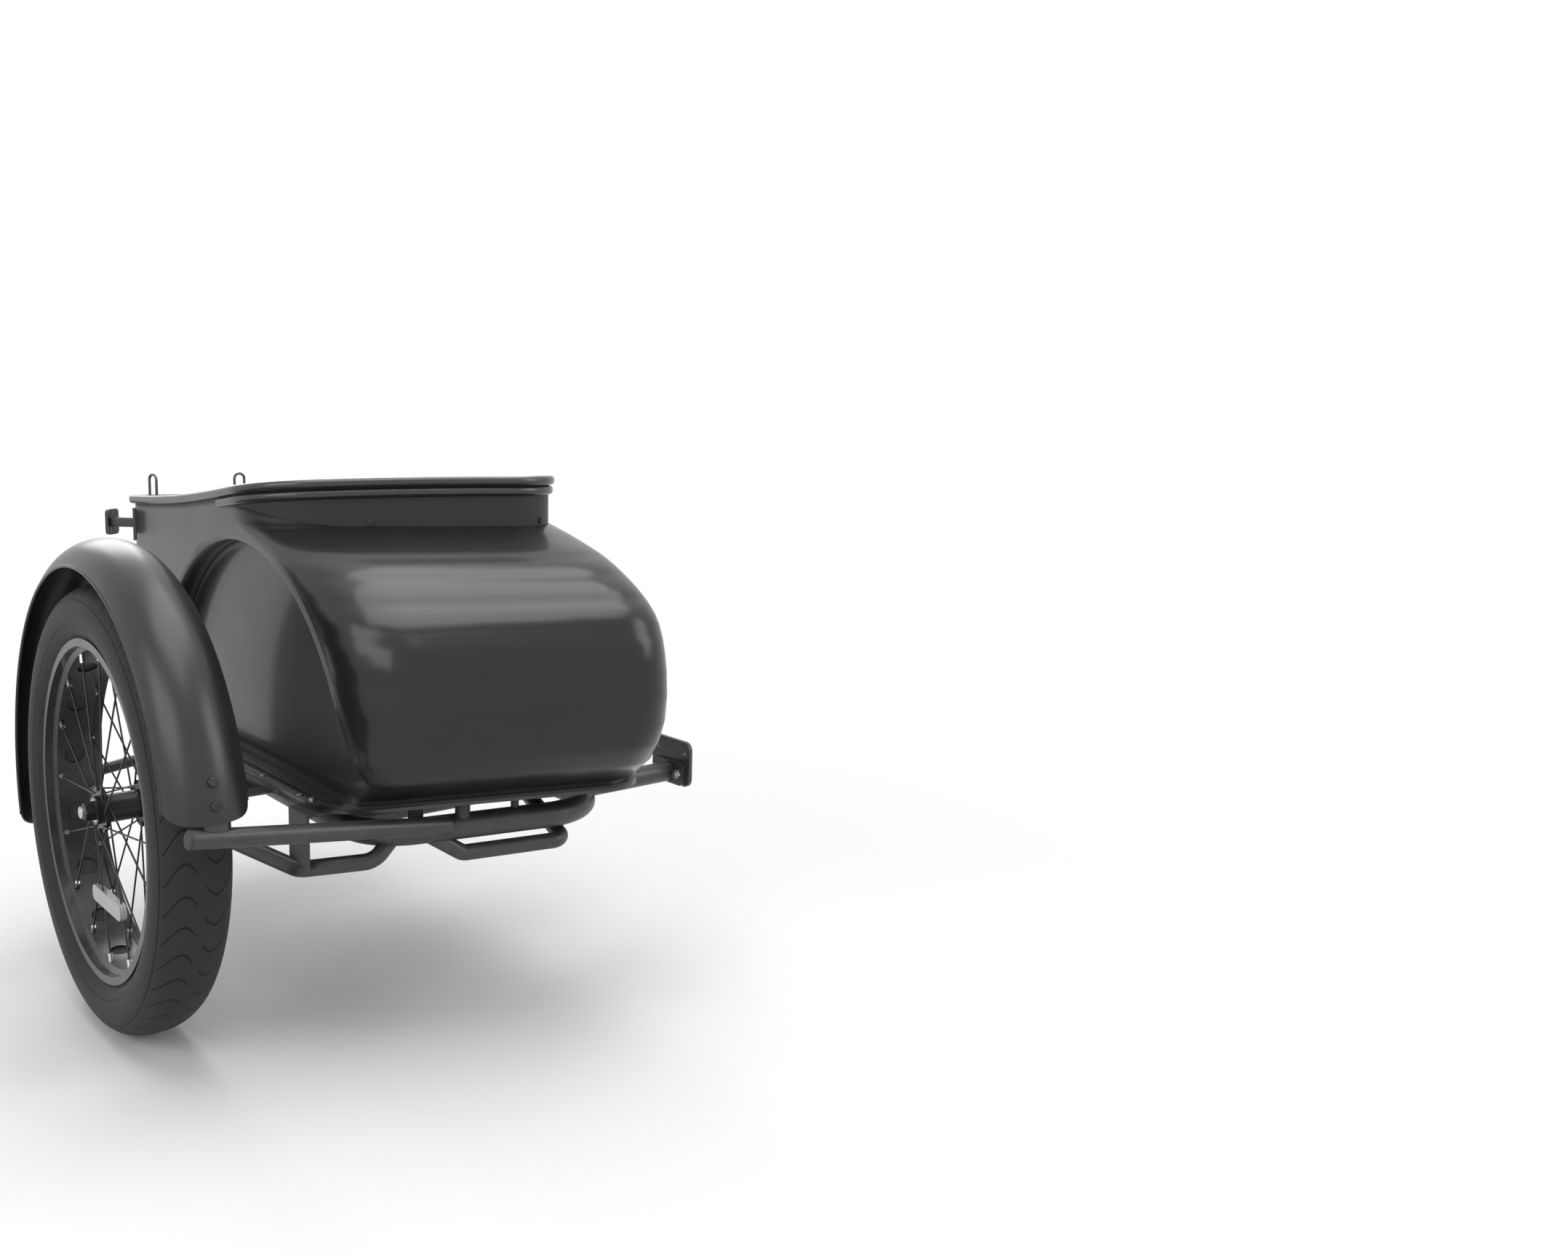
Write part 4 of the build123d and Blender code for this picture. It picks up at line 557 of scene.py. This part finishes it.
class SIDECAR_OT_finish_wheel(bpy.types.Operator):
    """Gives the tyre, rim, hub and spokes their rubber, paint and metal"""
    bl_idname = "sidecar.finish_wheel"
    bl_label = "Finish wheel"

    def execute(self, context):
        settings = context.scene.sidecar
        dress(["tyre"], tyre_material(settings))
        dress(["rim"], paint_material(
            "Rim paint", grey(0.02), grey(0.032), 0.34, 420.0, 0.06,
            metallic=0.3, coat=0.3, coat_roughness=0.25, dust=0.2))
        dress(["hub_shell"], paint_material(
            "Hub anodising", (0.024, 0.024, 0.025), (0.036, 0.036, 0.037), 0.3, 500.0, 0.05,
            metallic=0.6, dust=0.15))
        dress(["rim_tape", "inner_tube"], paint_material(
            "Tape and tube rubber", grey(0.02), grey(0.03), 0.6, 600.0, 0.2))
        dress(["spokes"], paint_material(
            "Black spokes", grey(0.03), grey(0.05), 0.35, 900.0, 0.05,
            metallic=0.7, dust=0.1))
        dress(["nipples"], steel_material(
            "Nipple brass plate", (0.6, 0.6, 0.59), (0.72, 0.72, 0.71), 0.28))
        dress(["hub_bearings", "valve_stem"], steel_material(
            "Bearing steel", grey(0.5), grey(0.62), 0.25))
        # The second colour is the painted shade on the reflector's prisms.
        dress(["spoke_reflector"], lens_material(
            "Clear reflector", (0.8, 0.8, 0.79), grey(0.6), 0.35))
        return {"FINISHED"}


def swollen(value, power):
    """How far a stuffed face has risen at a share of the way from its middle to its edge."""
    return max(0.0, 1.0 - abs(value) ** power) ** (1.0 / power)


def make_cushion(name, node, thick_axis, channel_axis, settings, material):
    """Makes a crowned, channelled cushion inside a CAD node's box, with its piping."""
    low, high = (Vector(corner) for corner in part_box(node))
    middle = (low + high) / 2
    half = (high - low) / 2
    long_axis = 3 - thick_axis - channel_axis
    steps_a, steps_b, piping_step = 120, 64, 4
    channels, channel_span = 6, 0.97
    corner_power, valley_power = 6.0, 0.55
    side_pull, underside_rise = 0.022, 0.72
    plain_crown, extra_crown = 0.86, 0.14
    pucker_height, pucker_rate, pucker_shift = 0.0012, 46.0, 2.3
    side_inset, face_inset, piping_inset = 0.995, 0.985, 0.985
    seam = -0.18 * half[thick_axis]

    def spot(u, v, top):
        edge = swollen(u, corner_power) * swollen(v, corner_power)
        pull_u = 1.0 - side_pull * (1 - abs(v) ** 2) * abs(u) ** 3
        pull_v = 1.0 - side_pull * (1 - abs(u) ** 2) * abs(v) ** 3
        rise = edge * (1.0 if top else underside_rise)
        if top:
            share = (u * channel_span + 1) / 2 * channels
            valley = abs(math.cos(math.pi * (share % 1.0 - 0.5))) ** valley_power
            rise *= plain_crown + extra_crown * (1 - u * u) * (1 - v * v)
            rise -= settings.channel_depth / half[thick_axis] * (1 - valley) * edge
            pucker = math.sin(v * pucker_rate + pucker_shift * math.floor(share)) * (1 - valley)
            rise += pucker_height * pucker / half[thick_axis] * edge
        point = Vector((0, 0, 0))
        point[channel_axis] = middle[channel_axis] + half[channel_axis] * u * pull_u * side_inset
        point[long_axis] = middle[long_axis] + half[long_axis] * v * pull_v * side_inset
        reach = half[thick_axis] - seam if top else half[thick_axis] + seam
        lift = seam + reach * min(1.0, rise) * (1 if top else -1) * face_inset
        point[thick_axis] = middle[thick_axis] + lift
        return point

    points, faces = [], []
    rows = {}
    for top in (True, False):
        for a in range(steps_a + 1):
            for b in range(steps_b + 1):
                u = math.sin((2 * a / steps_a - 1) * math.pi / 2)
                v = math.sin((2 * b / steps_b - 1) * math.pi / 2)
                on_edge = a in (0, steps_a) or b in (0, steps_b)
                if not top and on_edge:
                    rows[(top, a, b)] = rows[(True, a, b)]
                    continue
                rows[(top, a, b)] = len(points)
                points.append(spot(u, v, top))
        for a in range(steps_a):
            for b in range(steps_b):
                corners = ((a, b), (a + 1, b), (a + 1, b + 1), (a, b + 1))
                ring = [rows[(top, *corner)] for corner in corners]
                faces.append(ring if top else ring[::-1])
    piece = smooth_mesh(name, points, faces, material)
    turned = bmesh.new()
    turned.from_mesh(piece.data)
    bmesh.ops.recalc_face_normals(turned, faces=turned.faces)
    turned.to_mesh(piece.data)
    turned.free()

    way_round = [(a, 0) for a in range(0, steps_a + 1, piping_step)]
    way_round += [(steps_a, b) for b in range(piping_step, steps_b + 1, piping_step)]
    way_round += [(a, steps_b) for a in range(steps_a - piping_step, -1, -piping_step)]
    way_round += [(0, b) for b in range(steps_b - piping_step, 0, -piping_step)]
    curve = bpy.data.curves.new(name + "_piping", "CURVE")
    curve.dimensions = "3D"
    curve.bevel_depth = settings.piping_radius
    curve.bevel_resolution = 3
    spline = curve.splines.new("NURBS")
    spline.points.add(len(way_round) - 1)
    for target, (a, b) in zip(spline.points, way_round):
        inwards = middle + (points[rows[(True, a, b)]] - middle) * piping_inset
        target.co = (*inwards, 1.0)
    spline.use_cyclic_u = True
    spline.order_u = 3
    curve.materials.append(material)
    piping = bpy.data.objects.new(name + "_piping", curve)
    bpy.context.scene.collection.objects.link(piping)
    return piece, piping


class SIDECAR_OT_make_cushions(bpy.types.Operator):
    """Makes the upholstered seat and back cushions over their CAD solids"""
    bl_idname = "sidecar.make_cushions"
    bl_label = "Make cushions"

    def execute(self, context):
        settings = context.scene.sidecar
        leather = leather_material(settings)
        dress(["seat_cushion", "back_cushion"], leather)
        x_axis, y_axis, z_axis = 0, 1, 2
        pads = (("seat_pad", "seat_cushion", z_axis, y_axis), ("back_pad", "back_cushion", x_axis, y_axis))
        for name, node, thick_axis, channel_axis in pads:
            piece, piping = make_cushion(name, node, thick_axis, channel_axis, settings, leather)
            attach(piece, "chassis")
            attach(piping, "chassis")
            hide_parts(node)
        return {"FINISHED"}


def directly_seen(tree):
    """Adds Light Path and returns a mask that is one for camera, glossy and transmission rays."""
    paths = tree.nodes.new("ShaderNodeLightPath")
    seen = calculate(tree, "MAXIMUM", paths.outputs["Is Camera Ray"], paths.outputs["Is Glossy Ray"])
    return calculate(tree, "MAXIMUM", seen, paths.outputs["Is Transmission Ray"])


class SIDECAR_OT_make_studio(bpy.types.Operator):
    """Makes the pale floor, the soft lamps and the camera"""
    bl_idname = "sidecar.make_studio"
    bl_label = "Make studio"

    def execute(self, context):
        scene = context.scene
        level = scene.sidecar.lamp_level
        road = cad_box[0][2]
        reach = 9
        corners = [(x * reach, y * reach, road) for x, y in ((-1, -1), (1, -1), (1, 1), (-1, 1))]
        smooth_mesh("studio_floor", corners, [(0, 1, 2, 3)], self.floor_material())
        self.make_world(scene)
        middle = Vector((0.08, -0.38, 0.0))
        lamps = (
            ("overhead", (0.2, -0.3, 2.3), (2.6, 1.6), 40.0),
            ("front_left", (2.0, 1.2, 1.5), (1.2, 1.6), 20.0),
            ("wheel_side", (0.8, -2.6, 1.2), (1.8, 1.2), 20.0),
            ("rear_rim", (-2.2, -0.2, 1.4), (1.2, 1.2), 18.0),
        )
        for name, place, size, power in lamps:
            data = bpy.data.lights.new(name, "AREA")
            data.shape = "RECTANGLE"
            data.size, data.size_y = size
            data.energy = power * level
            lamp = bpy.data.objects.new(name, data)
            lamp.location = place
            lamp.rotation_euler = (middle - Vector(place)).to_track_quat("-Z", "Y").to_euler()
            scene.collection.objects.link(lamp)
        self.make_camera(scene)
        return {"FINISHED"}

    def make_world(self, scene):
        """Plain soft light that reads white where a ray meets it directly."""
        world = bpy.data.worlds.new("Studio")
        scene.world = world
        world.use_nodes = True
        tree = world.node_tree
        tree.nodes.clear()
        mix = tree.nodes.new("ShaderNodeMixShader")
        tree.links.new(directly_seen(tree), mix.inputs["Fac"])
        lit_strength, seen_strength = 0.42, 1.0
        for slot, strength in ((1, lit_strength), (2, seen_strength)):
            backdrop = tree.nodes.new("ShaderNodeBackground")
            backdrop.inputs["Color"].default_value = (1, 1, 1, 1)
            backdrop.inputs["Strength"].default_value = strength
            tree.links.new(backdrop.outputs[0], mix.inputs[slot])
        out = tree.nodes.new("ShaderNodeOutputWorld")
        tree.links.new(mix.outputs[0], out.inputs["Surface"])

    def floor_material(self):
        """Pale studio floor that reads white to the camera and keeps the soft shadow."""
        material, tree, shader = start_material("Studio floor")
        grain = place_effect(tree, "grain", scale=60.0, strength=0.02, patch_scale=3.0)
        tree.links.new(blend_colours(tree, grain.outputs["Patches"], grey(0.86), grey(0.88)),
                       shader.inputs["Base Color"])
        shader.inputs["Roughness"].default_value = 0.75
        place = tree.nodes.new("ShaderNodeTexCoord").outputs["Object"]
        split = tree.nodes.new("ShaderNodeSeparateXYZ")
        tree.links.new(place, split.inputs["Vector"])
        shadow_x, shadow_y = 0.1, -0.4
        shadow_radius, white_radius = 0.55, 1.5
        forward = calculate(tree, "POWER", calculate(tree, "SUBTRACT", split.outputs["X"], shadow_x), 2.0)
        sideways = calculate(tree, "POWER", calculate(tree, "SUBTRACT", split.outputs["Y"], shadow_y), 2.0)
        away = calculate(tree, "SQRT", calculate(tree, "ADD", forward, sideways))
        fade = tree.nodes.new("ShaderNodeMapRange")
        fade.interpolation_type = "SMOOTHSTEP"
        fade.inputs["From Min"].default_value = shadow_radius
        fade.inputs["From Max"].default_value = white_radius
        tree.links.new(away, fade.inputs["Value"])
        white = tree.nodes.new("ShaderNodeEmission")
        white.inputs["Color"].default_value = (1, 1, 1, 1)
        white.inputs["Strength"].default_value = 1.0
        mix = tree.nodes.new("ShaderNodeMixShader")
        whiteness = calculate(tree, "MULTIPLY", fade.outputs["Result"], directly_seen(tree))
        tree.links.new(whiteness, mix.inputs[0])
        tree.links.new(shader.outputs["BSDF"], mix.inputs[1])
        tree.links.new(white.outputs["Emission"], mix.inputs[2])
        tree.links.new(mix.outputs["Shader"], tree.nodes["Material Output"].inputs["Surface"])
        return material

    def make_camera(self, scene):
        """Stands the camera where the photograph was taken from."""
        back = Vector((math.sin(camera_turn) * math.cos(camera_rise),
                       -math.cos(camera_turn) * math.cos(camera_rise), math.sin(camera_rise)))
        right = Vector((math.cos(camera_turn), math.sin(camera_turn), 0))
        up = back.cross(right)
        rolled_right = right * math.cos(camera_roll) + up * math.sin(camera_roll)
        rolled_up = up * math.cos(camera_roll) - right * math.sin(camera_roll)
        data = bpy.data.cameras.new("Camera")
        data.sensor_fit = "HORIZONTAL"
        data.sensor_width = sensor_width
        data.lens = focal_pixels / photo_width * sensor_width
        data.shift_x = (photo_width / 2 - centre_x) / photo_width
        data.shift_y = (centre_y - photo_height / 2) / photo_width
        camera = bpy.data.objects.new("Camera", data)
        place = Matrix.Identity(4)
        for row in range(3):
            place[row] = (rolled_right[row], rolled_up[row], back[row], camera_place[row])
        camera.matrix_world = place
        scene.collection.objects.link(camera)
        scene.camera = camera
        scene.view_settings.view_transform = "Standard"


class SIDECAR_PT_looks(bpy.types.Panel):
    """Lists the sidecar's finishes and the studio"""
    bl_idname = "SIDECAR_PT_looks"
    bl_label = "Sidecar"
    bl_space_type = "VIEW_3D"
    bl_region_type = "UI"
    bl_category = "Sidecar"

    def draw(self, context):
        column = self.layout.column()
        for label in SidecarSettings.__annotations__:
            column.prop(context.scene.sidecar, label)
        for operator in steps:
            column.operator(operator.bl_idname)


steps = (SIDECAR_OT_finish_tub, SIDECAR_OT_finish_chassis, SIDECAR_OT_finish_wheel, SIDECAR_OT_make_cushions,
         SIDECAR_OT_make_studio)
classes = (SidecarSettings, *steps, SIDECAR_PT_looks)


def register():
    """Registers the classes and the scene's settings."""
    for kind in classes:
        bpy.utils.register_class(kind)
    bpy.types.Scene.sidecar = bpy.props.PointerProperty(type=SidecarSettings)


def unregister():
    """Takes the classes and the settings away again."""
    del bpy.types.Scene.sidecar
    for kind in reversed(classes):
        bpy.utils.unregister_class(kind)


def main():
    """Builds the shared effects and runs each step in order."""
    register()
    axle = Vector(frame["joints"][0]["pos_m"])
    effects.update(grain=make_grain(), pebble=make_pebble(), dust=make_dust(), tread=make_tread(axle),
                   facets=make_facets(), plies=make_plies())
    bpy.ops.sidecar.finish_tub()
    bpy.ops.sidecar.finish_chassis()
    bpy.ops.sidecar.finish_wheel()
    bpy.ops.sidecar.make_cushions()
    bpy.ops.sidecar.make_studio()


if __name__ == "__main__":
    main()
